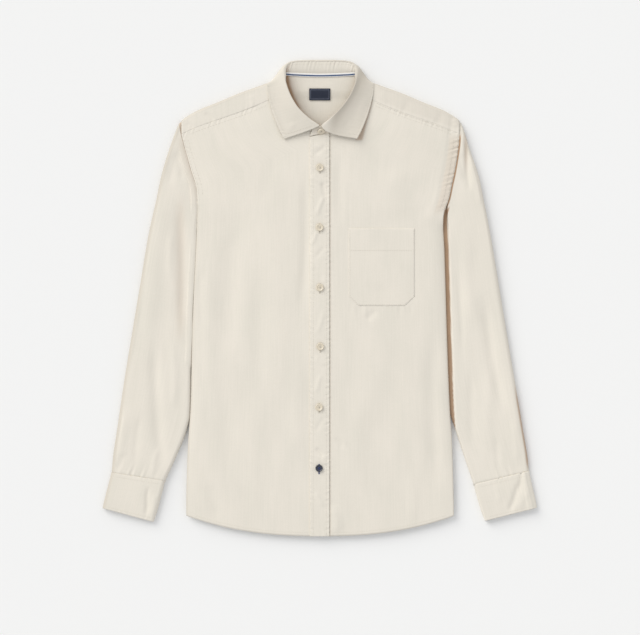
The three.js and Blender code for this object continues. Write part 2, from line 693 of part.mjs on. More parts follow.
// The collar stand rises from the neck seam to just inside the fold of the leaf
function collarStand() {
  const rows = roundTheNeck([standUnderEnd, standUnderTurn], [standOverTurn, standOverEnd]);
  const last = rows.length - 1;
  const sections = rows.map((row, index) => {
    const buttoned = clamp(2 - Math.min(index, last - index) / stationSteps);
    const wrap = clamp(row.wrap);
    const leafAbove = mix(stiffWall + standUnderLeaf, 0, buttoned);
    const footBelow = mix(stiffWall, 0, wrap);
    const foldBelow = mix(stiffWall + leafAbove, standUnderFold, wrap);
    const inside = smooth(wrap * 3) * mix(standInsideSide, standInsideBack, smooth(4 * wrap - 3));
    const bulge = standBulge * (1 - buttoned);
    const toMiddle = Math.hypot(row.foldX, row.foldY - neckMiddleY);
    const foldX = row.foldX * (1 - inside / toMiddle);
    const foldY = row.foldY - (row.foldY - neckMiddleY) * (inside / toMiddle);
    return standUpShares.map((up) => point(
      mix(row.seamX, foldX, up),
      mix(row.seamY + standBehindSeam, foldY, up),
      mix(row.seamZ - footBelow, row.foldZ - foldBelow, up) + bulge * Math.sin(Math.PI * up),
    ));
  });
  const grid = standUpShares.map((unused, row) => sections.map((section) => section[row]));
  return clothWallFrom(grid, stiffWall, 1);
}

// Outline of a flattened tube at one ring, as distance from its inner edge and height
function tubeOutline(width, high, lip, freeFrom) {
  const topAt = (across) => mix(lip, high, quarterRound((across - freeFrom) / sleeveRise));
  const outline = [];
  const bottomStart = Math.min(innerRound, lip * innerRoundOfLip) + innerClear;
  for (let step = 0; step <= tubeBottomSteps; step += 1) {
    outline.push({ across: mix(bottomStart, width - sleeveRound, step / tubeBottomSteps), up: 0, top: 0 });
  }
  for (const angle of tubeRoundAngles) {
    outline.push({
      across: width - sleeveRound + sleeveRound * Math.cos(angle * Math.PI),
      up: (high / 2) * (1 + Math.sin(angle * Math.PI)),
      top: 0,
    });
  }
  const riseEnd = freeFrom + sleeveRise;
  for (let step = 0; step <= tubeTopSteps; step += 1) {
    outline.push({ across: mix(width - sleeveRound, riseEnd, step / tubeTopSteps), up: high, top: 1 });
  }
  for (const share of sleeveRiseShares) {
    const across = freeFrom + sleeveRise * share;
    outline.push({ across, up: topAt(across), top: share * share });
  }
  outline.push({ across: freeFrom * 0.5, up: lip, top: 0 });
  outline.push({ across: 0, up: lip * lipUpper, top: 0 });
  outline.push({ across: 0, up: lip * lipLower, top: 0 });
  return outline;
}

// The same outline moved in by a thickness
function outlineMovedIn(outline, thickness) {
  return outline.map((here, index) => {
    const before = outline[(index + outline.length - 1) % outline.length];
    const after = outline[(index + 1) % outline.length];
    const runAcross = after.across - before.across;
    const runUp = after.up - before.up;
    const length = Math.hypot(runAcross, runUp);
    return {
      across: here.across - (thickness * runUp) / length,
      up: here.up + (thickness * runAcross) / length,
      top: here.top,
    };
  });
}

// A flattened tube through rings, such as a sleeve or a cuff
function flatTube(side, rings, steps, thickness, crevice, folds, atArmhole) {
  const sign = signOf(side);
  const rows = refine(rings, steps);
  const outer = [];
  const inner = [];
  rows.forEach((row, index) => {
    const runX = row.outerX - row.innerX;
    const runY = row.outerY - row.innerY;
    const width = Math.hypot(runX, runY);
    const bodyX = edgeHalfWidth(side, row.innerY) + crevice;
    const underBody = Math.max(0, (bodyX - row.innerX) * (width / runX));
    const tucked = underBody * smooth((lipOpen - row.lip) / (lipOpen - lipTucked));
    const freeFrom = atArmhole ? clamp((lipCovered - row.lip) / lipCoveredOver) * tucked : 0;
    const outline = tubeOutline(width, row.high, row.lip, freeFrom);
    const armhole = atArmhole ? clamp(1 - index / (armholeRings * steps)) : 0;
    const place = (entry) => {
      const share = entry.across / width;
      const y = row.innerY + runY * share;
      const straightX = row.innerX + runX * share;
      const nearestX = y > underarmY(side) ? edgeHalfWidth(side, y) + seamGap : 0;
      const x = sign * Math.max(straightX, nearestX);
      const joined = armhole * entry.top * (frontTop(x - sign * armholeReach, y) - row.high);
      const fold = (1 - armhole) * entry.top * foldHeight(folds, x, y);
      return point(x, y, entry.up + joined + fold);
    };
    outer.push(outline.map(place));
    inner.push(outlineMovedIn(outline, thickness).map(place));
  });
  const geometry = closedBody(outer, inner, true);
  if (side === 'left') {
    geometry.setIndex(Array.from(geometry.index.array).reverse());
  }
  return geometry;
}

const sleeve = (side) => flatTube(
  side, sleeveRings[side], sleeveSteps, clothWall, sleeveCrevice[side], sleeveFolds[side], true,
);
const cuff = (side) => flatTube(side, cuffRings[side], cuffSteps, stiffWall, 0, [], false);

// The placket lies on the under front and ends at the collar stand
function placket() {
  const grid = [];
  for (let row = 0; row <= placketRows; row += 1) {
    const columns = [];
    for (let column = 0; column <= placketColumns; column += 1) {
      const x = mix(placketLeft, placketRight, column / placketColumns);
      const top = placketTopY + (x - placketLeft) * placketTopSlope;
      const y = mix(hemAt(x), top, row / placketRows);
      columns.push(point(x, y, frontTop(x, y) + layGap + stiffWall));
    }
    grid.push(columns);
  }
  return clothWallFrom(grid, stiffWall);
}

// The pocket: a square with its lower corners cut off
function pocket() {
  const xs = [
    pocketLeft,
    pocketLeft + pocketCornerWide,
    ...pocketInnerShares.map((share) => mix(pocketLeft, pocketRight, share)),
    pocketRight - pocketCornerWide,
    pocketRight,
  ];
  const grid = [];
  for (let row = 0; row <= pocketRows; row += 1) {
    grid.push(xs.map((x, column) => {
      const corner = column === 0 || column === xs.length - 1 ? pocketCornerHigh : 0;
      const y = mix(pocketBottom + corner, pocketTop, row / pocketRows);
      return point(x, y, frontTop(x, y) + layGap + clothWall);
    }));
  }
  return clothWallFrom(grid, clothWall);
}

// A strip along the neck seam, over the yoke and the foot of the stand
function neckTape() {
  const rows = roundTheNeck([], []).filter((row) => row.seamY > tapeFromY);
  const edge = (behind, lift) => rows.map((row) => (
    point(row.seamX, row.seamY + behind, row.seamZ + layGap + trimWall + lift)
  ));
  const lower = edge(-tapeBelow, trimLift);
  const upper = edge(tapeAbove, tapeUpperLift);
  return clothWallFrom([lower, upper], trimWall, 1);
}

// A woven label on the inside of the yoke
function label() {
  const grid = [0, 0.5, 1].map((up) => [0, 0.5, 1].map((across) => {
    const x = mix(labelBox.left, labelBox.right, across);
    const y = mix(labelBox.bottom, labelBox.top, up);
    return point(x, y, yokeBottom(x, y) + clothWall + layGap + trimWall + trimLift);
  }));
  return clothWallFrom(grid, trimWall);
}

// A button: a disc with a raised rim round a dished middle
function button(place, under) {
  const profile = buttonProfile.map((row) => new THREE.Vector2(row.out * buttonRadius, row.up * buttonHigh));
  const geometry = new THREE.LatheGeometry(profile, buttonSides);
  geometry.rotateX(Math.PI / 2);
  geometry.translate(place.x, place.y, under);
  return geometry;
}

const shirt = new THREE.Group();
shirt.add(piece('back', backPanel(), cloth));
shirt.add(piece('yoke', yoke(), cloth));
shirt.add(piece('front_right', frontPanel('left', lapRight, underLapTopY), cloth));
shirt.add(piece('front_left', frontPanel('right', placketRight + seamGap, placketSideTopY), cloth));
shirt.add(piece('placket', placket(), cloth));
shirt.add(piece('pocket', pocket(), cloth));
shirt.add(piece('sleeve_right', sleeve('left'), cloth));
shirt.add(piece('sleeve_left', sleeve('right'), cloth));
shirt.add(piece('cuff_right', cuff('left'), cloth));
shirt.add(piece('cuff_left', cuff('right'), cloth));
shirt.add(piece('collar_leaf', collarLeaf(), cloth));
shirt.add(piece('collar_stand', collarStand(), cloth));
shirt.add(piece('neck_tape', neckTape(), cloth));
shirt.add(piece('neck_label', label(), navyCloth));
frontButtons.forEach((place, index) => {
  const heights = [-buttonRadius, 0, buttonRadius].map((off) => frontTop(place.x + off, place.y));
  const under = Math.max(...heights) + layGap + stiffWall + layGap;
  const finish = index === frontButtons.length - 1 ? navyButton : creamButton;
  shirt.add(piece(`button_${index + 1}`, button(place, under), finish));
});
shirt.add(piece('button_band', button(bandButton, bandButton.under), creamButton));

export default shirt;
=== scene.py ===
# %% [markdown]
# # A flannel shirt laid flat
#
# The shirt lies on its back, buttoned, with the sleeves down beside the body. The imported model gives
# every panel's place. Here each panel becomes a thin shell of soft cloth on the same form, with its
# creases, stitches and nap. All tables are in millimetres and are turned into metres at the last step.

import bmesh
import bpy
import numpy as np
from mathutils import Matrix, Vector


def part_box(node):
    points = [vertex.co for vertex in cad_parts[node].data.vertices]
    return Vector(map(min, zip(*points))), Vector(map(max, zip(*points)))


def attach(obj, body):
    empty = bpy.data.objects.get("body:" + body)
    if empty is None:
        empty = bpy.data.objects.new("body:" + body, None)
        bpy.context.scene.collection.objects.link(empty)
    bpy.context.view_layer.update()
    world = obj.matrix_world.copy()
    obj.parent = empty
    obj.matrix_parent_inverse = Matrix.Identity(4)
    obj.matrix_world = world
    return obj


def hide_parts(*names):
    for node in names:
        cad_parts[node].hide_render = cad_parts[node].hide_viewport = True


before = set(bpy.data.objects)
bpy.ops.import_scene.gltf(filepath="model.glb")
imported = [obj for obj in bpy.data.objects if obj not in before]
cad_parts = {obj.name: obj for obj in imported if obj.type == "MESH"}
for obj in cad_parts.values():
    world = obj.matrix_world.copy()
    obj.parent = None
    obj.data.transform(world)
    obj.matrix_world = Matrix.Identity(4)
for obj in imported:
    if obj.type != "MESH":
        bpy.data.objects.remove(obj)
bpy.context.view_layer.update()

MM = 0.001

# %% [markdown]
# ## Reading sizes from tables
#
# A maker grades a pattern from a few measured stations. Each table below has one row for a station and
# named columns, and `read` gives a smooth value anywhere between the rows. It uses Hermite curves, whose
# slope at a row comes from the rows on each side, so that an outline has no corners.

# %% Tables and smooth reading
def table(columns, *rows):
    return dict(zip(columns.split(), np.array(rows, dtype=float).T))


def read(rows, key, column, at):
    keys = rows[key]
    values = rows[column]
    at = np.clip(np.asarray(at, dtype=float), keys[0], keys[-1])
    slopes = np.empty_like(values)
    slopes[1:-1] = (values[2:] - values[:-2]) / (keys[2:] - keys[:-2])
    slopes[0] = (values[1] - values[0]) / (keys[1] - keys[0])
    slopes[-1] = (values[-1] - values[-2]) / (keys[-1] - keys[-2])
    row = np.clip(np.searchsorted(keys, at, side="right") - 1, 0, len(keys) - 2)
    span = keys[row + 1] - keys[row]
    share = (at - keys[row]) / span
    square = share * share
    cube = square * share
    return ((2 * cube - 3 * square + 1) * values[row] + (cube - 2 * square + share) * span * slopes[row]
            + (3 * square - 2 * cube) * values[row + 1] + (cube - square) * span * slopes[row + 1])


def mix(low, high, share):
    return low + (high - low) * share


def clamp(value):
    return np.clip(value, 0.0, 1.0)


def smooth(value):
    value = clamp(value)
    return value * value * (3 - 2 * value)


def ramp(value, start, over):
    """Rises softly from 0 at start to 1."""
    return smooth((value - start) / over)


def fade(value, end, over):
    """Falls softly from 1 to 0 at end."""
    return smooth((end - value) / over)


def hump(at, wide):
    return np.exp(-((at / wide) ** 2))


def quarter_round(share):
    return np.sqrt(1 - (1 - clamp(share)) ** 2)


# %% [markdown]
# ## The outline of the body
#
# The side seams run from the hem to the underarms, and the armholes from there to the shoulders. The hem
# dips in the middle. The front of a shirt that lies flat is highest along the middle and rolls down to
# the side seams, where the back turns up to meet it.

# %% Outline tables
CLOTH_WALL = 1.1
STIFF_WALL = 1.6
LAY_GAP = 0.4
SEAM_HEIGHT, CLOSED_SEAM_HEIGHT = 9.0, 13.1
BACK_EDGE_HEIGHT = 6.2
FRONT_ROLL, CLOSED_ROLL = 24.0, 4.0
SLEEVE_PARTS_Y = -175.0
UNDERARM = {-1: 168.0, 1: 141.0}
PLACKET_LEFT, PLACKET_RIGHT = -17.9, 15.3
HEM_Y, HEM_RISE, HEM_POWER, HEM_HALF_WIDTH = -404.6, 34.6, 2.375, 227.0
SEAM_FOOT_Y, SHOULDER_TIP_Y = -370.0, 279.0
YOKE_SEAM_Y = 285.0

BODY_EDGE = table(
    "y left right",
    (-410, 227.5, 227), (-342, 228.4, 226.6), (-240, 225, 223.7), (-186, 221.3, 220),
    (-87, 218.5, 216), (0, 215.7, 213.4), (82, 211.7, 211), (141, 209.6, 209), (168, 209.3, 217.9),
    (192, 211.5, 223), (215, 219, 228), (257, 230.9, 234.7), (280, 236.8, 236.8), (300, 240.4, 239.6),
)
FRONT_HEIGHT = table(
    "y centre side",
    (-410, 9.6, 8.8), (-360, 11.4, 9.8), (-250, 15, 12), (-100, 18, 14), (100, 19, 14.4),
    (220, 19, 13.2), (285, 18.2, 12), (320, 15.5, 11.6), (365, 12, 11),
)
SHOULDER = table(
    "x fold seam",
    (62, 369.5, 346.5), (75, 369.5, 341.5), (90, 366.6, 335.5), (108, 360.4, 327.5), (142, 348, 314),
    (176, 333.6, 302.5), (210, 320, 290.5), (232, 306.9, 281), (240, 299.5, 277),
)


def edge_half_width(side, y):
    return read(BODY_EDGE, "y", "left" if side < 0 else "right", y)


def edge_of(x, y):
    return np.where(x < 0, edge_half_width(-1, y), edge_half_width(1, y))


def hem_at(x):
    return HEM_Y + HEM_RISE * (np.abs(x) / HEM_HALF_WIDTH) ** HEM_POWER


def shoulder_fold(x):
    return read(SHOULDER, "x", "fold", np.abs(x))


def shoulder_seam(x):
    return read(SHOULDER, "x", "seam", np.abs(x))


print("chest half width", round(float(edge_half_width(-1, 82)), 1), "mm")

# %% [markdown]
# ## Creases and puckers
#
# Folds are listed one by one: each row is a line on the cloth with a width and a height, below zero for a
# trough and above for a ridge.
# washed, the cloth puckers: `pucker` is a row of small uneven waves that dies away from the seam.

# %% Folds, ripples and puckers
def fold_table(*rows):
    return table("from_x from_y to_x to_y wide high", *rows)


FRONT_FOLDS = fold_table(
    (-150, 170, -152, -110, 20, -2.6), (-26, 235, -28, -40, 9, -2.2), (-78, 190, -72, -200, 22, 1.6),
    (-186, 140, -188, -240, 15, 1.2), (190, -20, 197, -345, 14, -2.4), (94, -16, 78, -40, 6, -1.2),
    (18, -350, 33, -402, 9, 1.6), (120, 230, 140, 130, 26, 1.2),
    (-112, 60, -98, -180, 12, -0.8), (-44, -60, -36, -300, 12, 0.9), (-170, -120, -150, -330, 16, -0.9),
    (-60, 262, -110, 150, 14, -0.7), (60, 262, 128, 190, 15, -0.8), (-200, 230, -168, 120, 12, 0.8),
    (212, 200, 176, 118, 11, 0.9), (24, -236, 40, -256, 4, -0.9), (30, -232, 47, -250, 3, 0.5),
    (64, -150, 70, -330, 18, 0.9), (120, -60, 128, -280, 22, -0.8), (-120, -250, -108, -380, 13, 0.8),
    (150, -290, 160, -392, 10, 0.8), (-190, -310, -176, -384, 9, -0.9), (-206, 60, -200, -60, 7, -0.9),
    (34, 250, 30, 120, 7, -0.8), (90, 90, 104, 10, 20, 0.7),
)
PLACKET_FOLDS = fold_table(
    (-16, 212, 6, 190, 4, 1.3), (4, 204, 8, 158, 4, -1.3), (8, 178, -8, 138, 4, 1.2),
    (-6, 118, -14, 88, 3.5, 0.9), (-14, 56, 6, 28, 4, -0.8), (-8, -252, 5, -272, 3.5, -1.4),
    (-3, -262, 9, -284, 3, 1.0), (3, -126, -10, -162, 4, 0.8), (6, -16, -5, -64, 4, 0.7),
    (-12, -328, 8, -354, 4, 0.8), (12, 264, -12, 240, 4, -0.9), (-14, 262, 10, 250, 3.5, 0.7),
    (6, 90, -8, 66, 4, -0.7), (-10, -96, 8, -116, 4, 0.6), (9, -200, -10, -226, 4, -0.6),
)
SLEEVE_FOLDS = {
    -1: fold_table(
        (-246, 252, -232, 196, 5, -1.2), (-240, 175, -234, -70, 9, -2.6),
        (-288, -55, -268, -300, 10, -2.8), (-262, 200, -300, -130, 14, 1.2),
        (-332, -180, -340, -300, 8, 1), (-236, 262, -262, 190, 8, -1.1), (-300, 60, -312, -60, 9, -0.9),
        (-252, -60, -246, -200, 7, 1.2), (-306, -190, -318, -296, 6, -1), (-256, 120, -254, 20, 6, 0.9),
        (-330, -262, -348, -292, 6, -0.9), (-274, -250, -290, -306, 5, 0.9),
    ),
    1: fold_table(
        (246, 284, 254, 178, 5, -3.2), (241, 282, 244, 240, 3.5, 1.2), (240, 130, 262, -55, 11, 1.6),
        (271, 15, 314, -206, 10, -3.2),
        (290, -90, 282, -290, 12, 1.2), (236, 250, 246, 190, 5, -1), (232, 60, 244, -110, 6, -1.2),
        (300, 60, 322, -90, 9, 0.9), (252, -120, 262, -260, 7, -1.1), (326, -200, 338, -288, 6, 1),
        (262, 240, 272, 150, 8, 0.9), (296, -230, 306, -300, 5, -0.9),
    ),
}


def fold_height(folds, x, y):
    height = np.zeros(np.broadcast(x, y).shape)
    for from_x, from_y, to_x, to_y, wide, high in zip(*folds.values()):
        run_x, run_y = to_x - from_x, to_y - from_y
        length = np.hypot(run_x, run_y)
        along = ((x - from_x) * run_x + (y - from_y) * run_y) / length
        across = ((x - from_x) * run_y - (y - from_y) * run_x) / length
        wander = 0.22 * wide * np.sin(along / (0.17 * length) + from_x)
        taper = smooth(along / (0.3 * length)) * smooth((length - along) / (0.3 * length))
        height = height + high * taper * hump(across + wander, wide)
    return height


def waves(along, pitch, seed):
    """Uneven small waves between about -1 and 1."""
    turn = 2 * np.pi / pitch
    swell = 0.6 + 0.4 * np.sin(along * turn * 0.173 + seed * 2.1)
    return swell * (0.6 * np.sin(along * turn + seed) + 0.4 * np.sin(along * turn * 1.618 + seed * 3.7))


def pucker(along, away, pitch=11.0, reach=7.0, high=0.4, seed=0.0):
    return high * waves(along + 0.35 * away, pitch, seed) * hump(away, reach)


def softness(x, y, high=0.35, seed=0.0):
    """Broad, faint unevenness of washed cloth."""
    return high * (
        np.sin(x / 23 + 1.3 * np.sin(y / 61 + seed)) * np.sin(y / 47 + 0.9 * np.sin(x / 39 + seed))
        + 0.5 * np.sin(x / 11.3 + y / 37 + seed) * np.sin(y / 19 - x / 53 + 2 * seed)
    )


print("folds on the fronts", len(FRONT_FOLDS["high"]))

# %% [markdown]
# ## Heights of the layers
#
# Everything on the front lies on one surface, so a single function gives the height of the cloth at a
# place, and the placket, the pocket and the stitches are set on what it returns. The buttons sit on their
# imported parts. The underside of the back is flat on the table except near the side seams.

# %% Front, back and yoke heights
ROLL_START = 30.0
BACK_LIFT_FROM, BACK_LIFT_TO, BACK_LIFT, BACK_CURL = 27.0, 13.0, 4.2, 7.0
COLLAR_UNDER_YOKE = 2.3


def side_roll(x, y):
    underarm = np.where(x < 0, UNDERARM[-1], UNDERARM[1])
    return smooth((underarm - y) / ROLL_START)


def sleeve_closes(x, y):
    """1 where the sleeve lies hard against the body, which is on the wearer's right side only."""
    return ramp(y, SLEEVE_PARTS_Y, 90) * (x < 0)


def front_top(x, y):
    centre = read(FRONT_HEIGHT, "y", "centre", y)
    outer = read(FRONT_HEIGHT, "y", "side", y)
    flat = mix(centre, outer, clamp(np.abs(x) / 225) ** 2) + fold_height(FRONT_FOLDS, x, y)
    inward = edge_of(x, y) - np.abs(x)
    closed = sleeve_closes(x, y)
    rolled = mix(mix(SEAM_HEIGHT, CLOSED_SEAM_HEIGHT, closed), flat,
                 quarter_round(inward / mix(FRONT_ROLL, CLOSED_ROLL, closed)))
    return mix(flat, rolled, side_roll(x, y))


def back_bottom(x, y):
    inward = edge_of(x, y) - np.abs(x)
    lift = BACK_LIFT * smooth((BACK_LIFT_FROM - inward) / (BACK_LIFT_FROM - BACK_LIFT_TO))
    curl = (BACK_EDGE_HEIGHT - BACK_LIFT) * (1 - quarter_round(inward / BACK_CURL))
    return (lift + curl) * side_roll(x, y)


def yoke_bottom(x, y):
    return COLLAR_UNDER_YOKE * ramp(y, 338, 18) * fade(np.abs(x), 102, 12)


def pocket_pull(x, y):
    """Small gathers that run out from the lower edge of the pocket."""
    below = clamp((-10 - y) / 4) * hump(y + 14, 14)
    return 0.5 * waves(x, 17, 5.0) * below * ramp(x, 44, 12) * fade(x, 164, 12)


def seam_detail(x, y):
    """The softness of the cloth with the puckers of every seam on the front."""
    inward = edge_of(x, y) - np.abs(x)
    height = softness(x, y, 0.3)
    armhole = ramp(y, 140, 30)
    height = height + pucker(y, inward, 9, 13, np.where(x > 0, 1.25, 0.45), 1.0) * armhole
    height = height - 0.9 * (x > 0) * armhole * hump(inward - 17, 3.5)
    height = height + pucker(x, shoulder_seam(x) - y, 9, 8, 0.55, 2.0)
    height = height + pucker(x, y - hem_at(x), 10, 7, 0.5, 3.0)
    height = height + pucker(y, x - PLACKET_RIGHT, 12, 7, 0.4, 4.0) * (x > 0)
    return height + pocket_pull(x, y)


def front_surface(x, y):
    return front_top(x, y) + seam_detail(x, y)


print("front above the table at the chest", round(float(front_top(np.array(0.0), np.array(100.0))), 1), "mm")

# %% [markdown]
# ## A sheet of cloth
#
# `cloth_sheet` starts from a flat grid, moves each point to its place on the shirt and keeps the cloth's
# own length and width as its UV map, so that the weave follows the panel round every bend. Solidify
# gives the wall. A tube is a grid whose two long edges meet and are merged. A sheet also keeps two values
# of painted shade at each point for its finish: a warm brown one, painted where shade falls deep between
# two layers and in creases, and a greyer one, painted along rounded outer edges and on slopes that turn
# from the light.

# %% Making objects
def add_to_scene(name, data):
    made = bpy.data.objects.new(name, data)
    bpy.context.scene.collection.objects.link(made)
    return made


def as_object(shape, name, keep_smooth=False):
    for face in shape.faces:
        face.smooth = keep_smooth
    mesh = bpy.data.meshes.new(name)
    shape.to_mesh(mesh)
    shape.free()
    return add_to_scene(name, mesh)


# %% Making a sheet
def cloth_sheet(name, across, along, place, wall, size, turn_over=False, around=False, deep=None, turned=None,
                finer_top=1.0):
    shape = bmesh.new()
    uv = shape.loops.layers.uv.new("cloth")
    for shade in ("deep", "turned"):
        shape.verts.layers.float.new(shade)
    bmesh.ops.create_grid(shape, x_segments=across, y_segments=along, size=0.5)
    shape.verts.index_update()
    flat = clamp(np.array([vert.co[:2] for vert in shape.verts]) + 0.5)
    flat[:, 1] = 1 - (1 - flat[:, 1]) ** finer_top
    cloth = flat * size * MM
    for face in shape.faces:
        for loop in face.loops:
            loop[uv].uv = cloth[loop.vert.index]
    x, y, z = place(flat[:, 0], flat[:, 1])
    for vert, co in zip(shape.verts, np.stack([x, y, z], axis=1) * MM):
        vert.co = co
    for shade, strength in (("deep", deep), ("turned", turned)):
        if strength is not None:
            layer = shape.verts.layers.float[shade]
            for vert, value in zip(shape.verts, clamp(strength(x, y, z))):
                vert[layer] = value
    if around:
        bmesh.ops.remove_doubles(shape, verts=shape.verts, dist=0.02 * MM)
        bmesh.ops.recalc_face_normals(shape, faces=shape.faces)
        underside = [face for face in shape.faces if face.calc_center_median().z < 0.5 * MM]
        turn_over = sum(face.normal.z * face.calc_area() for face in underside) > 0
    if turn_over:
        bmesh.ops.reverse_faces(shape, faces=shape.faces)
    return finish_sheet(shape, name, wall)


def finish_sheet(shape, name, wall):
    area = sum(face.calc_area() for face in shape.faces)
    piece = as_object(shape, name, keep_smooth=True)
    solid = piece.modifiers.new("wall", "SOLIDIFY")
    solid.thickness = wall * MM
    solid.offset = -1
    piece["flat_area"] = area
    print(name, len(piece.data.vertices), "points,", round(area * 1e4), "cm2")
    return piece


pieces = {}

# %% [markdown]
# ## The two fronts
#
# A front is a patch between four edges: the hem, the yoke seam, the centre line that goes on round the
# neck, and the side seam that goes on up the armhole. A Coons patch blends the four, so the grain runs
# as it does in the cut panel. The top edge runs just under the edge of the yoke.

# %% Neck stations
NECK = table(
    "seam_x seam_y seam_z fold_x fold_y fold_z edge_x edge_y wrap",
    (2, 278, 18.3, 1.8, 292.6, 30, 62, 270.2, 0), (24, 286, 18, 14, 301.5, 30, 70.5, 287, 0),
    (46, 304, 17, 31, 320, 29, 80, 311, 0), (61, 328, 15, 46.5, 341, 27, 87, 335, 0),
    (69, 352, 12.4, 58, 363, 23.5, 90.6, 356, 0), (68, 370, 9.5, 62, 381, 18.5, 89.6, 366.5, 0.3),
    (63, 382.6, 7.4, 60.5, 395, 14, 82, 363.5, 0.85), (46, 382.8, 5.2, 50, 403.2, 11.2, 62, 361.5, 1),
    (24, 382, 4.4, 25, 405.4, 10.2, 31, 360.8, 1), (0, 381.4, 4.3, 0, 405.7, 10, 0, 360.5, 1),
)
NECK["station"] = np.arange(10.0)


def path_reader(points):
    points = np.array(points)
    lengths = np.concatenate([[0], np.cumsum(np.hypot(*np.diff(points, axis=0).T))])
    lengths = lengths / lengths[-1]
    return lambda share: (np.interp(share, lengths, points[:, 0]), np.interp(share, lengths, points[:, 1]))


def patch(u, v, bottom, top, inner, outer):
    """Blends four edges; each reader gives x and y at a share of its length."""
    corners = [bottom(0.0), bottom(1.0), top(0.0), top(1.0)]
    edges = [bottom(u), top(u), inner(v), outer(v)]
    place = []
    for axis in (0, 1):
        middle = mix(mix(corners[0][axis], corners[1][axis], u), mix(corners[2][axis], corners[3][axis], u), v)
        place.append(mix(edges[0][axis], edges[1][axis], v) + mix(edges[2][axis], edges[3][axis], u) - middle)
    return place


def outer_edge(side, top_y):
    start_y = hem_at(edge_half_width(side, SEAM_FOOT_Y))
    y = np.linspace(start_y, top_y, 80)
    return path_reader(np.stack([side * edge_half_width(side, y), y], axis=1))


# %% Front panels
NECK_CLEAR = -0.5
TUCK = 0.5
NECK_POINTS, NECK_FROM_X = np.linspace(0.35, 3.7, 16), 15
CENTRE_X = {-1: 12.0, 1: 14.6}
CENTRE_TOP = {-1: 275.6, 1: 281.0}


def front_place(side):
    centre_x = CENTRE_X[side]
    neck_x = side * (read(NECK, "station", "seam_x", NECK_POINTS) + NECK_CLEAR)
    neck_y = read(NECK, "station", "seam_y", NECK_POINTS) - NECK_CLEAR
    neck_keep = side * neck_x > NECK_FROM_X
    centre = [(centre_x, float(hem_at(centre_x))), (centre_x, CENTRE_TOP[side])]
    inner = path_reader(centre + list(zip(neck_x[neck_keep], neck_y[neck_keep])))
    shoulder_x = float(edge_half_width(side, SHOULDER_TIP_Y))
    outer = outer_edge(side, float(shoulder_seam(shoulder_x)) + TUCK)
    corner_x = side * float(edge_half_width(side, SEAM_FOOT_Y))

    def bottom(share):
        x = mix(centre_x, corner_x, share)
        return x, hem_at(x)

    def top(share):
        x = mix(neck_x[neck_keep][-1], side * shoulder_x, share)
        return x, mix(neck_y[neck_keep][-1], shoulder_seam(x) + TUCK, smooth(share * 6))

    def place(u, v):
        across = u if side > 0 else 1 - u
        x, y = patch(across, v, bottom, top, inner, outer)
        under_placket = smooth((PLACKET_RIGHT + 0.9 - x) / 1.0) if side > 0 else 0.0
        return x, y, front_surface(x, y) - 0.5 * under_placket

    return place


# Painted grey shade along the rounded side edge of the front on the wearer's right, below the underarm.
def front_right_painted_shade(x, y, z):
    return 0.3 * fade(edge_of(x, y) - np.abs(x), 5, 5) * fade(y, 165, 10)


pieces["front_right"] = cloth_sheet(
    "front_right_cloth", 110, 300, front_place(-1), CLOTH_WALL, (240, 700), turned=front_right_painted_shade, finer_top=1.4,
)

# Where the painted shadow under the lifted leaf on the wearer's left falls on the front: the leaf's edge and how far
# the shadow reaches.
LEAF_SHADE = table("y edge reach", (262, 63, 7), (271, 64, 9), (300, 74, 6), (330, 85, 3.5), (356, 90, 2))


def front_left_painted_shade(x, y, z):
    """Painted shade beside the placket, painted shadow under the lifted leaf and painted shade in the armhole
    puckers.
    """
    placket_side = 0.36 * smooth((PLACKET_RIGHT + 1.8 - x) / 1.4)
    off = x - read(LEAF_SHADE, "y", "edge", y)
    under_leaf = 0.6 * smooth((read(LEAF_SHADE, "y", "reach", y) - off) / 3) * ramp(y, 266, 5) * (off > -4)
    inward = edge_of(x, y) - x
    band = 0.2 * fade(inward, 19, 4) * ramp(y, 138, 20) * fade(y, 284, 20)
    return np.maximum(placket_side, under_leaf) + band


pieces["front_left"] = cloth_sheet(
    "front_left_cloth", 104, 300, front_place(1), CLOTH_WALL, (215, 700), deep=front_left_painted_shade, finer_top=1.4,
)

# %% [markdown]
# ## The back
#
# The back is one panel. It lies flat on the table, where the weight of the shirt presses it smooth, and
# turns up at the sides over the tucked edges of the sleeves.

# %% Back panel
BACK_TOP_Y, BACK_FOOT_X = YOKE_SEAM_Y + 0.6, 227.4


def back_place(u, v):
    side = np.where(u < 0.5, -1, 1)
    out = np.abs(u - 0.5) * 2
    low_y = hem_at(edge_of(side, SEAM_FOOT_Y) * out)
    edge_low = hem_at(np.full_like(out, BACK_FOOT_X))
    between = mix(mix(HEM_Y, BACK_TOP_Y, v), mix(edge_low, BACK_TOP_Y, v), out)
    y = mix(low_y, BACK_TOP_Y, v) + between - mix(mix(HEM_Y, edge_low, out), BACK_TOP_Y, v)
    x = side * edge_of(side, y) * out
    return x, y, back_bottom(x, y)


pieces["back"] = cloth_sheet("back_cloth", 150, 150, back_place, CLOTH_WALL, (455, 690), turn_over=True)

# %% [markdown]
# ## The yoke
#
# The yoke starts at its seam with the back, runs flat under the neck and turns over the top of each
# shoulder to meet the fronts. Each column of the sheet has a lower run, half a turn round the shoulder
# and an upper run. Under the neck there is no turn, so these columns go straight to the neck seam.

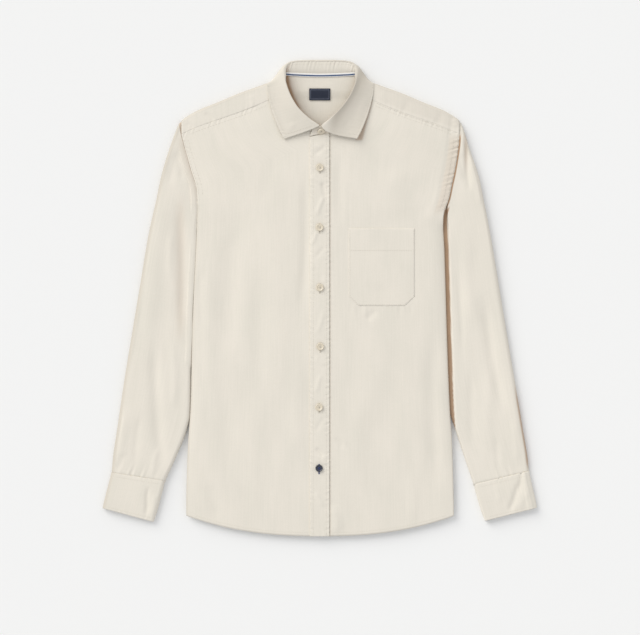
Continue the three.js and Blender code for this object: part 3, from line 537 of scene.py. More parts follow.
# %% Yoke
SHOULDER_ROUND, YOKE_ON_SEAM = 5.0, 6.5
YOKE_EDGE = table(
    "column base_x x y z turn",
    (0, 238, 236.4, 279.2, 12, 1), (1, 209, 208, 291, 12.2, 1), (2, 181, 180, 301, 12.6, 1),
    (3, 152, 151, 310.6, 13, 1), (4, 126, 125, 320.8, 13.2, 1), (5, 102, 101.6, 330.2, 13.4, 1),
    (6, 86, 85, 337.4, 13.4, 1), (7, 77, 76, 342.5, 13.4, 1), (8, 66, 73.6, 351.8, 12.4, 1),
    (9, 53, 71.6, 370, 7.8, 0.3), (10, 40, 65.4, 381.5, 5.6, 0), (11, 26, 46, 382.4, 3.8, 0),
    (12, 13, 24, 381.8, 3.1, 0), (13, 0, 0, 381.2, 3, 0),
)
STRAIGHT = table(
    "row straight lower",
    (0, 0, 0), (1, 0.3, 0.45), (2, 0.55, 0.8), (3, 0.7, 1), (4, 0.78, 1), (5, 0.84, 1), (6, 0.89, 1),
    (7, 0.93, 1), (8, 0.965, 1), (9, 1, 1),
)
YOKE_FOLDS = fold_table(
    (-197, 318, -180, 298, 3.5, -1.2), (-120, 348, -112, 322, 5, 0.6), (150, 340, 140, 312, 6, -0.6),
    (206, 318, 196, 292, 5, -0.7), (-228, 300, -214, 286, 4, -0.7), (104, 352, 110, 330, 5, 0.5),
)


def yoke_place(u, v):
    side = np.where(u < 0.5, -1, 1)
    column = (1 - np.abs(u - 0.5) * 2) * YOKE_EDGE["column"][-1]
    base_x, edge_x, edge_y, edge_z, turn = (
        read(YOKE_EDGE, "column", name, column) for name in ("base_x", "x", "y", "z", "turn")
    )
    turn = clamp(turn)
    edge_y = np.where(column < YOKE_ON_SEAM, shoulder_seam(edge_x), edge_y)
    edge_z = np.where(column < YOKE_ON_SEAM, front_top(side * edge_x, edge_y), edge_z)
    row = v * STRAIGHT["row"][-1]
    straight = np.interp(row, STRAIGHT["row"], STRAIGHT["straight"])
    lower = np.interp(row, STRAIGHT["row"], STRAIGHT["lower"])
    outward = np.where(turn > 0, lower, straight)
    x = mix(base_x, edge_x, outward)
    fold_y = shoulder_fold(edge_x)
    turn_y = fold_y - SHOULDER_ROUND
    high = np.maximum(front_top(side * edge_x, np.minimum(fold_y, 360)), edge_z)
    low = yoke_bottom(edge_x, turn_y)
    angle = np.interp(row, [3, 8], [-0.5, 0.5]) * np.pi
    upper = clamp(row - 8)
    turned_y = np.where(row < 3, mix(YOKE_SEAM_Y, turn_y, lower), turn_y + SHOULDER_ROUND * np.cos(angle))
    turned_y = mix(turned_y, edge_y, upper)
    turned_z = np.where(row < 3, yoke_bottom(x, turned_y), mix(low, high, (1 + np.sin(angle)) / 2))
    turned_z = mix(turned_z, edge_z, upper)
    y = mix(mix(YOKE_SEAM_Y, edge_y, straight), turned_y, turn)
    flat_z = mix(yoke_bottom(x, y), edge_z, ramp(straight, 0.7, 0.3))
    z = mix(flat_z, turned_z, turn)
    on_top = turn * clamp(row - 7)
    x = side * x
    edge_step = 0.12 - 0.16 * ramp(row, 8.7, 0.3)
    return x, y, z + on_top * (edge_step + seam_detail(x, y) + fold_height(YOKE_FOLDS, x, y))


def yoke_painted_shade(x, y, z):
    """Painted shade inside the neck, deepest beside the left fold of the collar."""
    inside = fade(z, 12, 4) * fade(np.abs(x), 72, 6) * (y > 286)
    fold_x = np.interp(y, [292, 302, 320, 341, 363, 382, 396], [2, -17, -37, -50, -58, -61, -60])
    from_left = np.maximum(0, x - fold_x)
    from_right = np.maximum(0, -fold_x - x)
    low = fade(y, 340, 30)
    left = 1.5 * hump(from_left, 5.5) + 0.26 * hump(from_left, 16)
    right = 0.14 * hump(from_right, 6) * (1 - low)
    return inside * (left * mix(1, 0.4, low) + right)


# Painted grey shade: on the wearer's left shoulder, which turns from the light, and along the rounded fold of both
# shoulders, most on the wearer's right.
def yoke_painted_grey_shade(x, y, z):
    on_right = ramp(x, 60, 60)
    shoulder = 0.14 * on_right * smooth((y - shoulder_seam(x) - 1) / 8)
    rim = mix(0.5, 0.2, on_right) * smooth((y - shoulder_fold(x) + 7) / 7) * ramp(np.abs(x), 82, 8)
    return shoulder + rim


pieces["yoke"] = cloth_sheet(
    "yoke_cloth", 300, 99, yoke_place, CLOTH_WALL, (476, 150), turn_over=True, deep=yoke_painted_shade, turned=yoke_painted_grey_shade,
)

# %% [markdown]
# ## The sleeves and cuffs
#
# A sleeve is a flattened tube. Its underside is flat on the table, its outer edge is rounded, and its
# inner edge is thin where it is tucked under the body. Rings from the armhole to the cuff give the
# width and the height. The first millimetres slip under the edge of the armhole, and the last ones go
# into the cuff.

# %% Sleeve and cuff tables
def ring_table(*rows):
    return table("ring inner_x inner_y outer_x outer_y high lip", *rows)


SLEEVES = {
    -1: ring_table(
        (0, 209.4, 167.5, 241.2, 300, 12, 12), (1, 206.5, 150, 246, 286, 13, 6.5),
        (2, 205, 132, 259.3, 249, 13.5, 4.2), (3, 203, 108, 271.2, 208.3, 14, 3.5),
        (4, 202.5, 80, 279.7, 167.5, 14, 3.5), (5, 203, 40, 293.3, 106.3, 13.5, 3.5),
        (6, 205, -15, 306.9, 24.7, 13, 3.5), (7, 207, -80, 320.5, -57, 12.5, 3.5),
        (8, 210, -150, 334, -138.6, 12, 3.5), (9, 227, -222, 346, -220.2, 11.5, 4.5),
        (10, 246, -270, 352.5, -262, 11, 5), (11, 264.5, -309.8, 355.6, -295.1, 10.5, 5),
    ),
    1: ring_table(
        (0, 208.6, 140.6, 240.4, 300, 12, 12), (1, 206, 124, 244.3, 286, 13, 6.5),
        (2, 204.5, 106, 256, 249, 13.5, 4.2), (3, 203, 84, 269.5, 208.3, 14, 3.5),
        (4, 202, 60, 278, 167.5, 14, 3.5), (5, 201.5, 26, 289.9, 106.3, 13.5, 3.5),
        (6, 203, -22, 303.5, 24.7, 13, 3.5), (7, 205, -84, 317, -57, 12.5, 3.5),
        (8, 208, -152, 330.7, -138.6, 12, 3.5), (9, 230, -224, 344.3, -220, 11.5, 4.5),
        (10, 246, -273, 351.5, -262, 11, 5), (11, 260.6, -315.4, 355.1, -292.5, 10.5, 5),
    ),
}
CUFFS = {
    -1: ring_table(
        (0, 264.8, -310.4, 356, -295.9, 10.6, 5.2), (1, 270.2, -332, 361.4, -316.6, 10.6, 5),
        (2, 278, -361, 367.8, -342, 10.2, 5), (3, 284.2, -380.4, 371.4, -356.8, 9.5, 4.8),
    ),
    1: ring_table(
        (0, 260.8, -316, 355.4, -293.2, 10.6, 5.2), (1, 266.5, -338, 360.2, -316, 10.8, 5),
        (2, 273.5, -361, 365.8, -340, 10.2, 5), (3, 280.2, -378.5, 369, -356, 9.5, 4.8),
    ),
}
CREVICE = {-1: 0.0, 1: 6.6}
SLEEVE_RISE, SLEEVE_ROUND = {-1: 7.0, 1: 3.2}, 8.0
UNDER_EDGE_RISE = 2.2
CREVICE_FLOOR = 5.6
UNDER_TO, ROUND_TO, TOP_TO = 0.40, 0.50, 0.94
TUCK_RINGS, TUCK_IN, TIP_IN, TIP_UP = 0.12, 2.6, 3.0, 2.4
LAST_RING = SLEEVES[1]["ring"][-1]


# %% Flattened tubes
def tube_outline(side, share, width, high, lip, free_from):
    """Distance from the inner edge and height, once round the tube: underside, outer edge, top, inner edge."""
    turn = clamp((share - UNDER_TO) / (ROUND_TO - UNDER_TO)) * np.pi
    under = clamp(share / UNDER_TO)
    over = clamp((share - ROUND_TO) / (TOP_TO - ROUND_TO))
    close = clamp((share - TOP_TO) / (1 - TOP_TO))
    inner_round = np.minimum(1.6, lip * 0.4) + 0.6
    across = mix(inner_round, width - SLEEVE_ROUND, under)
    across = across + SLEEVE_ROUND * np.sin(turn) * (share < ROUND_TO)
    up = (high / 2) * (1 - np.cos(turn)) * (share < ROUND_TO)
    top_across = mix(width - SLEEVE_ROUND, 0.0, over ** 0.9)
    covered = UNDER_EDGE_RISE * smooth(top_across / (free_from + 0.01)) * (free_from > 0.5)
    top_up = mix(lip + covered, high, quarter_round((top_across - free_from) / SLEEVE_RISE[side]))
    on_top = share >= ROUND_TO
    across = np.where(on_top, top_across, across)
    up = np.where(on_top, top_up, up)
    closing = share >= TOP_TO
    across = np.where(closing, inner_round * 0.5 * (1 - np.cos(close * np.pi)) * close, across)
    up = np.where(closing, lip * (1 - close) ** 1.3, up)
    weight = np.where(on_top & ~closing, clamp((top_across - free_from) / SLEEVE_RISE[side]), 0.0)
    return across, up, weight


def tube_place(side, rings, atop):
    last = rings["ring"][-1]

    def place(u, v):
        ring = v * last
        inner_x, inner_y, outer_x, outer_y, high, lip = (
            read(rings, "ring", name, ring) for name in ("inner_x", "inner_y", "outer_x", "outer_y", "high", "lip")
        )
        run_x, run_y = outer_x - inner_x, outer_y - inner_y
        width = np.hypot(run_x, run_y)
        body_x = edge_half_width(side, inner_y) + CREVICE[side]
        tucked = np.maximum(0, (body_x - inner_x) * width / run_x) * fade(lip, 12, 6)
        free_from = clamp((8 - lip) / 2) * tucked * (last > 5)
        share = u if side > 0 else 1 - u
        across, up, weight = tube_outline(side, share, width, high, lip, free_from)
        y = inner_y + run_y * across / width
        x = inner_x + run_x * across / width
        return atop(side, x, y, up, weight, ring, share)

    return place


def edge_support(side, x, y):
    """Least height of the sleeve's top beside the body, so that no gap opens down to the table."""
    edge = edge_half_width(side, y)
    past = x - edge
    if side < 0:
        floor = front_top(-edge, y) + mix(-0.35, 0.7, ramp(past, -0.4, 5))
        near = smooth((y - SLEEVE_PARTS_Y - 20) / 50)
    else:
        floor = CREVICE_FLOOR
        near = ramp(y, -150, 60)
    return floor * near * ramp(past, -1.6, 1.5) * fade(past, 14, 4)


def sleeve_atop(side, x, y, up, weight, ring, share):
    armhole = clamp(1 - ring / 2)
    edge = edge_half_width(side, y)
    beside = y > UNDERARM[side]
    seam_x = edge + mix(0.5, -0.9, ramp(up, 6, 3))
    x = np.where(beside, mix(seam_x, np.maximum(x, seam_x), smooth(ring / 0.7)), x)
    joined = armhole * weight * (front_top(side * (x - 3), y) - 12 - ring * 0.5)
    tuck = clamp(1 - ring / TUCK_RINGS)
    tip = tuck * smooth((y - SLEEVES[side]["outer_y"][0] + 16) / 8)
    into_cuff = clamp((ring - LAST_RING + 0.04) / 0.04)
    folds = smooth(ring / 0.5) * weight * fold_height(SLEEVE_FOLDS[side], side * x, y)
    soft = weight * softness(x, y, 0.35, 2.0 + side)
    seam = weight * pucker(y, ring * 30, 12, 10, 0.5, 5.0)
    gathers = weight * pucker(x, (LAST_RING - ring) * 40, 13, 16, 0.7, 6.0)
    height = up + joined + folds + soft + seam + gathers
    height = mix(height, np.maximum(height * 0.86, 0), tuck * weight)
    height = mix(height, 5 + (height - 5) * 0.86, into_cuff)
    on_top = (share > 0.52) & (share < 0.93)
    height = np.where(on_top, np.maximum(height, edge_support(side, x, y)), height)
    under_edge = front_top(side * edge, y) - CLOTH_WALL - 0.2
    height = np.where(beside & (x < edge + 0.15), np.minimum(height, under_edge), height)
    height = mix(height, 4.6 + (height - 4.6) * 0.85, tip)
    on_allowance = 1.2 * fade(ring, 1.4, 0.4)
    x = x - TUCK_IN * tuck - TIP_IN * tip
    return side * x, y + TIP_UP * tip - 3.0 * into_cuff, np.maximum(height, on_allowance)


CUFF_FOLDS = fold_table(
    (340, -288, 341, -334, 3, -1.2), (343, -306, 318, -368, 5, -1.9), (352, -320, 338, -362, 6, 0.8),
    (300, -312, 306, -350, 6, 0.6), (-292, -316, -298, -374, 4, -1.8), (-280, -330, -287, -372, 4, 0.7),
)


def cuff_atop(side, x, y, up, weight, ring, share):
    step = weight * fold_height(CUFF_FOLDS, side * x, y)
    if side > 0:
        lap_x = mix(343.4, 352, clamp(ring / 3))
        step = step + 1.3 * weight * ramp(x, lap_x, 1.6)
    soft = weight * (pucker(x, ring * 20, 9, 7, 0.3, 7.0) + pucker(x, (3 - ring) * 20, 9, 7, 0.3, 8.0))
    return side * x, y, np.maximum(up + step + soft, 0)


def from_outer(side, x, y):
    """Distance in from the outer edge of a sleeve and its cuff."""
    edges = [np.concatenate([SLEEVES[side][name], CUFFS[side][name][1:]]) for name in ("outer_x", "outer_y")]
    return np.interp(-y, -edges[1], edges[0]) - np.abs(x)


# Painted grey shade along the rounded outer edge of a sleeve and its cuff, strongest on the wearer's right.
def outer_painted_shade(side):
    return lambda x, y, z: (0.55 if side < 0 else 0.15) * smooth((9 - from_outer(side, x, y)) / 9)


# Painted warm shade on the sleeves: beside the body and along the armhole seam of both, in the crevice, a pleat at
# the head and along the outer rim of the wearer's left sleeve, and in a trough of the wearer's right one.
def sleeve_painted_shade(side):
    def deep(x, y, z):
        off = np.abs(x) - edge_half_width(side, y)
        low = smooth(y / 4 + 57)
        if side > 0:
            crevice = 0.95 * fade(off, 7.4, 0.9) * fade(y, 158, 8) * low
            seam = fade(off, 3.2, 1.2) * ramp(y, 150, 8) * fade(y, 284, 14)
            pleat = 0.30 * hump(x - 247, 3.2) * ramp(y, 205, 40) * fade(y, 286, 8)
            rim = 0.75 * smooth((4 - from_outer(side, x, y)) / 1.5) * fade(y, -140, 40) * ramp(y, -296, 20)
            return np.maximum(crevice, seam) + pleat + rim
        seam = fade(off, 2.0, 1.8) * (0.45 * ramp(y, 190, 30) + 0.35 * fade(y, -60, 40) * low + 0.04)
        shade = 0.20 * hump(off, 9) * ramp(y, 140, 60) * fade(y, 285, 30)
        trough = 0.17 * hump(x + 238, 8) * fade(y, 190, 60) * ramp(y, -90, 60)
        return np.maximum(seam, shade) + trough

    return deep


for node, side in (("sleeve_right", -1), ("sleeve_left", 1)):
    pieces[node] = cloth_sheet(
        node + "_cloth", 150, 212, tube_place(side, SLEEVES[side], sleeve_atop), CLOTH_WALL, (240, 620),
        around=True, deep=sleeve_painted_shade(side), turned=outer_painted_shade(side),
    )
for node, side in (("cuff_right", -1), ("cuff_left", 1)):
    pieces[node] = cloth_sheet(
        node + "_cloth", 150, 34, tube_place(side, CUFFS[side], cuff_atop), STIFF_WALL, (205, 66),
        around=True, turned=outer_painted_shade(side) if side < 0 else None,
    )

# %% [markdown]
# ## The collar
#
# A shirt collar is two pieces: the stand, which rises from the neck seam, and the leaf, which falls from
# a fold at the top of the stand. The same stations run from the centre front round the back. At the
# front the leaf lies on the shirt, and at the back it goes under the yoke and lies on the table.

# %% Stations all round the neck
MIRRORED = ("seam_x", "fold_x", "edge_x")
NECK_ROUND = {
    name: np.concatenate([(-1 if name in MIRRORED else 1) * NECK[name], NECK[name][-2::-1]])
    for name in NECK if name != "station"
}
NECK_ROUND["station"] = np.arange(19.0)
FOLD_OPENS_LEFT = (0, 3.0, 6.0, 3.8, 0.6)
FOLD_OPENS_RIGHT = (0, 0.5, 2.5, 2.5, 1.0)
NECK_ROUND["fold_x"][:5] -= FOLD_OPENS_LEFT
NECK_ROUND["fold_x"][-5:] += FOLD_OPENS_RIGHT[::-1]
NECK_END, NECK_MIDDLE = NECK_ROUND["station"][-1], 9


def neck_read(name, station):
    return read(NECK_ROUND, "station", name, station)


# %% Collar leaf
LEAF_ROLL = 0.09
NECK_MIDDLE_Y = 345.0
LEAF_BOW = {-1: 4.0, 1: 18.0}
LEAF_FOLDS = fold_table(
    (74, 384, 22, 302, 8, -2.0), (84, 350, 58, 282, 7, 0.8), (-84, 352, -60, 282, 7, -1.1),
    (-70, 378, -32, 300, 9, 1.1), (-44, 300, -56, 280, 5, 0.7), (40, 300, 52, 279, 6, -0.5),
)


def stand_inside(wrap):
    """How far the stand lies inside the fold of the leaf."""
    return smooth(wrap * 3) * mix(3.4, 2.4, smooth(4 * wrap - 3))


def leaf_at(station, down):
    """The leaf at a station round the neck: down is 0 at the fold, 1 at the edge, and below 0 inside the fold."""
    out = np.maximum(down, 0)
    wrap = clamp(neck_read("wrap", station))
    fold_x, fold_y, fold_z = (neck_read(name, station) for name in ("fold_x", "fold_y", "fold_z"))
    edge_x, edge_y = neck_read("edge_x", station), neck_read("edge_y", station)
    edge_on_top = front_top(edge_x, np.minimum(edge_y, 358)) + LAY_GAP + STIFF_WALL + 0.5
    edge_z = mix(edge_on_top, 0.0, ramp(wrap, 0.12, 0.75))
    outward = mix(out, np.maximum(0, (out - 0.14) / 0.86), wrap)
    fall = mix((1 - out) ** 1.6, np.maximum(0, 1 - out / 0.3) ** 1.5, wrap)
    bulge = wrap * 1.2 * np.sin(np.pi * clamp(out / 0.3))
    x = mix(fold_x, edge_x, outward)
    y = mix(fold_y, edge_y, outward) + bulge
    z = mix(edge_z, fold_z, fall)
    near_end = np.minimum(station, NECK_END - station)
    turning = hump(near_end - 5.55, 0.62) * np.sin(np.pi * clamp(out / 0.85) ** 0.55)
    x = x + 3.6 * np.sign(fold_x) * turning
    y = y + 3.2 * turning
    bow = np.where(station < NECK_MIDDLE, LEAF_BOW[-1], LEAF_BOW[1]) * smooth(1 - near_end / 1.6)
    y = y - bow * out ** 0.4 * (1 - out) ** 1.2
    lift = np.where(station < NECK_MIDDLE, 1.6, 6.5) * hump(near_end, 1.7) * out ** 2
    front = 1 - smooth(wrap * 3)
    z = z + front * (lift + softness(x, y, 0.25, 6.0) * out + fold_height(LEAF_FOLDS, x, y) * np.sin(np.pi * out))
    z = z + front * (pucker(station * 24, (1 - out) * 45, 9, 7, 0.35, 9.0))
    rolled = clamp(-down / LEAF_ROLL)
    turn = clamp(rolled / 0.6) * np.pi / 2
    open_end = smooth(near_end / 0.7)
    inward = (1.6 + 0.8 * stand_inside(wrap)) * np.sin(turn) * mix(0.3, 1, open_end)
    drop = 1.8 * (1 - np.cos(turn)) + 2.4 * clamp((rolled - 0.6) / 0.4)
    to_middle = np.hypot(fold_x, fold_y - NECK_MIDDLE_Y)
    x = x - fold_x * inward / to_middle
    y = y - (fold_y - NECK_MIDDLE_Y) * inward / to_middle
    return x, y, z - drop * mix(0.5, 1, open_end)


def leaf_place(u, v):
    return leaf_at(u * NECK_END, v * (1 + LEAF_ROLL) - LEAF_ROLL)


def leaf_painted_shade(x, y, z):
    """Painted grey shade on the whole leaf, more on the wearer's left, which turns away from the light, most of all
    along its roll.
    """
    right = ramp(x, 8, 20)
    roll = hump(((x - 74) * 82 - (y - 384) * 52) / 97, 12)
    return 0.2 + right * (0.12 + 0.36 * roll)


pieces["collar_leaf"] = cloth_sheet(
    "collar_leaf_cloth", 340, 50, leaf_place, STIFF_WALL, (430, 68), turned=leaf_painted_shade,
)


# %% Collar stand
STAND_ENDS = {
    "seam_x": ((11, -10), (8, -17.9)), "seam_y": ((284.5, 284), (280.8, 275.4)), "seam_z": ((18.3, 18.3), (21, 21)),
    "fold_x": ((9, -2), (2.5, -13)), "fold_y": ((291.5, 293), (293.6, 289.5)), "fold_z": ((20.6, 20.9), (23.7, 23.5)),
    "wrap": ((0, 0), (0, 0)),
}
STAND = {
    name: np.concatenate([ends[0], NECK_ROUND[name][1:-1], ends[1]]) for name, ends in STAND_ENDS.items()
}
STAND["station"] = np.arange(float(len(STAND["wrap"])))


def stand_place(u, v):
    last = STAND["station"][-1]
    station = u * last
    seam_x, seam_y, seam_z, fold_x, fold_y, fold_z, wrap = (
        read(STAND, "station", name, station)
        for name in ("seam_x", "seam_y", "seam_z", "fold_x", "fold_y", "fold_z", "wrap")
    )
    wrap = clamp(wrap)
    buttoned = clamp(2 - np.minimum(station, last - station))
    leaf_above = mix(STIFF_WALL + 1.4, 0, buttoned)
    foot_below = mix(STIFF_WALL, 0, wrap)
    fold_below = mix(STIFF_WALL + leaf_above, 0.9, wrap)
    inside = stand_inside(wrap)
    to_middle = np.hypot(fold_x, fold_y - NECK_MIDDLE_Y)
    fold_x = fold_x * (1 - inside / to_middle)
    fold_y = fold_y - (fold_y - NECK_MIDDLE_Y) * inside / to_middle
    x = mix(seam_x, fold_x, v)
    y = mix(seam_y + 0.3, fold_y, v)
    z = mix(seam_z - foot_below, fold_z - fold_below, v) + 0.5 * (1 - buttoned) * np.sin(np.pi * v)
    z = z + smooth(wrap * 3 - 1.4) * 1.3 * np.sin(np.pi * v ** 0.6)
    z = z + smooth(wrap * 2) * pucker(x, (1 - v) * 12, 6.5, 9, 0.9, 11.0) * smooth(v * 6)
    return x, y, z


# Painted shade on the stand: deep beside the left fold of the collar and faint near the front ends.
def stand_painted_shade(x, y, z):
    left = hump(x + 60, 6) * ramp(y, 350, 20)
    return 0.6 * left + 0.12 * fade(y, 300, 20) * fade(np.abs(x), 20, 10)


pieces["collar_stand"] = cloth_sheet(
    "collar_stand_cloth", 300, 16, stand_place, STIFF_WALL, (420, 30), deep=stand_painted_shade,
)

# %% [markdown]
# ## Placket, pocket, tape and label
#
# These lie on the panels, so each is made from the panel's own surface, moved up. The placket is a
# folded strip with a soft wave where it is handled most. The pocket has its lower corners cut off.

# %% Placket
BUTTON_YS = (221.9, 120.5, 18.5, -81.6, -184.5, -288.2)


def placket_top(x):
    return 274.4 + (x - PLACKET_LEFT) * 0.19


def placket_place(u, v):
    x = mix(PLACKET_LEFT, PLACKET_RIGHT, u)
    y = mix(hem_at(x), placket_top(x), v)
    z = front_surface(x, y) + 1.3
    edge = np.minimum(x - PLACKET_LEFT, PLACKET_RIGHT - x)
    z = z + fold_height(PLACKET_FOLDS, x, y) + pucker(y, edge, 10, 6, 0.5, 12.0)
    for button_y in BUTTON_YS:
        z = z - 0.5 * hump(y - button_y, 9) * hump(x, 7)
    return x, y, z


pieces["placket"] = cloth_sheet("placket_cloth", 26, 460, placket_place, STIFF_WALL, (33.2, 680))


# %% Pocket
POCKET_LEFT, POCKET_RIGHT, POCKET_TOP, POCKET_BOTTOM, POCKET_HEM = 47.6, 159.8, 118.7, -12.4, 80.4
CORNER_WIDE, CORNER_HIGH = 18.0, 16.0


def pocket_bottom(x):
    into = np.minimum(x - POCKET_LEFT, POCKET_RIGHT - x)
    cut = np.maximum(0, 1 - into / CORNER_WIDE)
    return POCKET_BOTTOM + CORNER_HIGH * (cut ** 2 / (cut + 0.12)) * 1.12


def pocket_place(u, v):
    x = mix(POCKET_LEFT, POCKET_RIGHT, u)
    bottom = pocket_bottom(x)
    y = mix(bottom, POCKET_TOP, v)
    into = np.minimum(np.minimum(x - POCKET_LEFT, POCKET_RIGHT - x), y - bottom)
    hem = 0.12 * ramp(y, POCKET_HEM, 1.5)
    z = front_surface(x, y) + 0.32 + hem
    z = z + pucker(x + y, into, 9, 6, 0.4, 13.0) + softness(x, y, 0.25, 9.0) * smooth(into / 12)
    z = z + 0.5 * ramp(y, 70, 40) * np.sin(np.pi * u)
    return x, y, z


pieces["pocket"] = cloth_sheet("pocket_cloth", 72, 80, pocket_place, CLOTH_WALL, (112, 131))


# %% Neck tape and label
def tape_place(u, v):
    station = mix(6.05, 11.95, u)
    x = neck_read("seam_x", station)
    y = neck_read("seam_y", station) + mix(-4.2, 1.6, v)
    z = neck_read("seam_z", station) + mix(0.9, 1.9, v) + pucker(x, 0, 8, 5, 0.2, 14.0)
    return x, y, z


def label_place(u, v):
    x = mix(-19.2, 16.7, u)
    y = mix(338.1, 357.9, v)
    z = yoke_bottom(x, y) + 2.9 + 0.25 * np.sin(3.1 * u + 1) * np.sin(2.2 * v)
    return x, y, z


TAPE_SIZE, TAPE_WALL = (122, 5.8), 0.8
LABEL_SIZE, LABEL_WALL = (35.9, 19.8), 0.7
pieces["neck_tape"] = cloth_sheet("neck_tape_band", 90, 6, tape_place, TAPE_WALL, TAPE_SIZE)
pieces["neck_label"] = cloth_sheet("neck_label_patch", 20, 12, label_place, LABEL_WALL, LABEL_SIZE)

# %% [markdown]
# ## Buttons
#
# A shirt button is a small disc with a raised rim, a dished middle and four holes. It is spun from half
# a profile, and the holes are cut through by boolean cylinders. Thread crosses between the holes, and
# each button sits on a short shank of thread.

# %% Button shapes
BAND_TILT, BAND_TURN = 0.85, 0.3
HOLE_R, HOLE_OFF = 0.75, 1.35
THREAD_OFF = HOLE_OFF * 0.707
RIM = ((0.0, 0.3), (4.6, 0.3), (5.8, 0.75), (6.2, 1.35), (6.0, 1.95), (5.5, 2.35), (5.0, 2.4), (4.5, 2.1),
       (4.0, 1.75), (2.6, 1.6), (0.0, 1.6))


def spun_button(name, centre):
    shape = bmesh.new()
    line = [shape.verts.new(Vector((radius * MM, 0, up * MM))) for radius, up in RIM]
    for low, high in zip(line, line[1:]):
        shape.edges.new((low, high))
    bmesh.ops.spin(
        shape, geom=shape.verts[:] + shape.edges[:], cent=(0, 0, 0), axis=(0, 0, 1), angle=2 * np.pi,
        steps=40, use_merge=True,
    )
    bmesh.ops.remove_doubles(shape, verts=shape.verts, dist=0.01 * MM)
    bmesh.ops.recalc_face_normals(shape, faces=shape.faces)
    button = as_object(shape, name)
    cutter = hole_cutter(name + "_holes")
    holes = button.modifiers.new("holes", "BOOLEAN")
    holes.object = cutter
    holes.operation = "DIFFERENCE"
    holes.solver = "EXACT"
    baked = bpy.data.meshes.new_from_object(button.evaluated_get(bpy.context.evaluated_depsgraph_get()))
    button.modifiers.clear()
    button.data = baked
    bpy.data.objects.remove(cutter)
    baked.transform(Matrix.Translation(Vector(centre) * MM))
    return button


def hole_cutter(name):
    shape = bmesh.new()
    for quarter in range(4):
        angle = np.pi / 4 + quarter * np.pi / 2
        made = bmesh.ops.create_cone(
            shape, cap_ends=True, segments=14, radius1=HOLE_R * MM, radius2=HOLE_R * MM, depth=8 * MM,
        )
        bmesh.ops.translate(
            shape, verts=made["verts"],
            vec=(HOLE_OFF * np.cos(angle) * MM, HOLE_OFF * np.sin(angle) * MM, 0),
        )
    return as_object(shape, name)


def rounded(radius, x, y, z, to_x, to_y, to_z, shape, segments=8):
    """A round bar of thread between two places, in millimetres."""
    start, end = Vector((x, y, z)), Vector((to_x, to_y, to_z))
    run = end - start
    made = bmesh.ops.create_cone(
        shape, cap_ends=True, segments=segments, radius1=radius * MM, radius2=radius * MM, depth=run.length * MM,
    )
    turn = Vector((0, 0, 1)).rotation_difference(run.normalized()).to_matrix()
    bmesh.ops.rotate(shape, verts=made["verts"], matrix=turn)
    bmesh.ops.translate(shape, verts=made["verts"], vec=(start + end) / 2 * MM)


# %% Buttons on their places
BUTTON_NODES = [f"button_{count}" for count in range(1, 7)] + ["button_band"]
threads = {}
for node in BUTTON_NODES:
    low, high = (np.array(corner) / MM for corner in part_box(node))
    centre = ((low[0] + high[0]) / 2, (low[1] + high[1]) / 2, low[2] - 0.2)
    pieces[node] = spun_button(node + "_disc", centre)
    sewn = bmesh.new()
    centre_x, centre_y, foot = centre
    left, right = centre_x - THREAD_OFF, centre_x + THREAD_OFF
    for sign in (-1, 1):
        for beside in (-0.14, 0.14):
            y = centre_y + THREAD_OFF * sign + beside
            rounded(0.3, left, y, foot + 1.9, right, y, foot + 1.9, sewn)
    for x in (left, right):
        for y in (centre_y - THREAD_OFF, centre_y + THREAD_OFF):
            rounded(0.42, x, y, foot - 0.3, x, y, foot + 2.0, sewn)
    threads[node] = as_object(sewn, node + "_thread", keep_smooth=True)
    if node == "button_band":
        middle = Matrix.Translation(Vector(centre) * MM)
        tilt = middle @ Matrix.Rotation(BAND_TURN, 4, "Z") @ Matrix.Rotation(BAND_TILT, 4, "X") @ middle.inverted()
        for piece in (pieces[node], threads[node]):
            piece.data.transform(tilt)
print("buttons", len(BUTTON_NODES))

# %% [markdown]
# ## Stitches and buttonholes
#
# Topstitching is a dotted line: each stitch is a short bar of thread that sinks into the cloth at both
# ends. One small bar is a thin round rod, and every seam is a row of them, set out along a path that
# lies on the cloth.

# %% Stitch rows
STITCH_LONG, STITCH_PITCH, THREAD_R = 2.2, 3.9, 0.22
HOLE_WIDE, STITCH_LIFT = 0.5, 0.04
LONG_SEAM = {"pitch": 5.2, "long": 3.2}
needle_holes = bmesh.new()


def stitch_row(shape, points, pitch=STITCH_PITCH, long=STITCH_LONG, radius=THREAD_R, holes=False):
    points = np.array(points, dtype=float)
    steps = np.linalg.norm(np.diff(points, axis=0), axis=1)
    lengths = np.concatenate([[0], np.cumsum(steps)])
    count = int(lengths[-1] // pitch)
    for start in (np.arange(count) + 0.25) * pitch:
        ends = [start, start + long]
        low, high = (np.array([np.interp(end, lengths, points[:, axis]) for axis in range(3)]) for end in ends)
        rounded(radius, *low, *high, shape, segments=5)
        if not holes:
            continue
        # Some rows get dark discs at the needle holes: painted shade, sunk into the cloth.
        hole = high + (high - low) / long * 0.75
        rounded(HOLE_WIDE, *(hole - (0, 0, 0.6)), *(hole + (0, 0, 0.03)), needle_holes, segments=8)


def on_piece(place, u, v, lift=STITCH_LIFT):
    """A path on a piece, from the two shares that its place function takes."""
    return np.stack(place(u, v), axis=1) + (0, 0, lift)


def on_front(xs, ys):
    return np.stack([xs, ys, front_surface(xs, ys) + STITCH_LIFT], axis=1)


def placket_share(x):
    return (x - PLACKET_LEFT) / (PLACKET_RIGHT - PLACKET_LEFT)


def pocket_shares(x, y):
    bottom = pocket_bottom(x)
    return (x - POCKET_LEFT) / (POCKET_RIGHT - POCKET_LEFT), (y - bottom) / (POCKET_TOP - bottom)


def finish_stitches(shape, name):
    row = as_object(shape, name, keep_smooth=True)
    print(name, len(row.data.polygons), "faces")
    return row


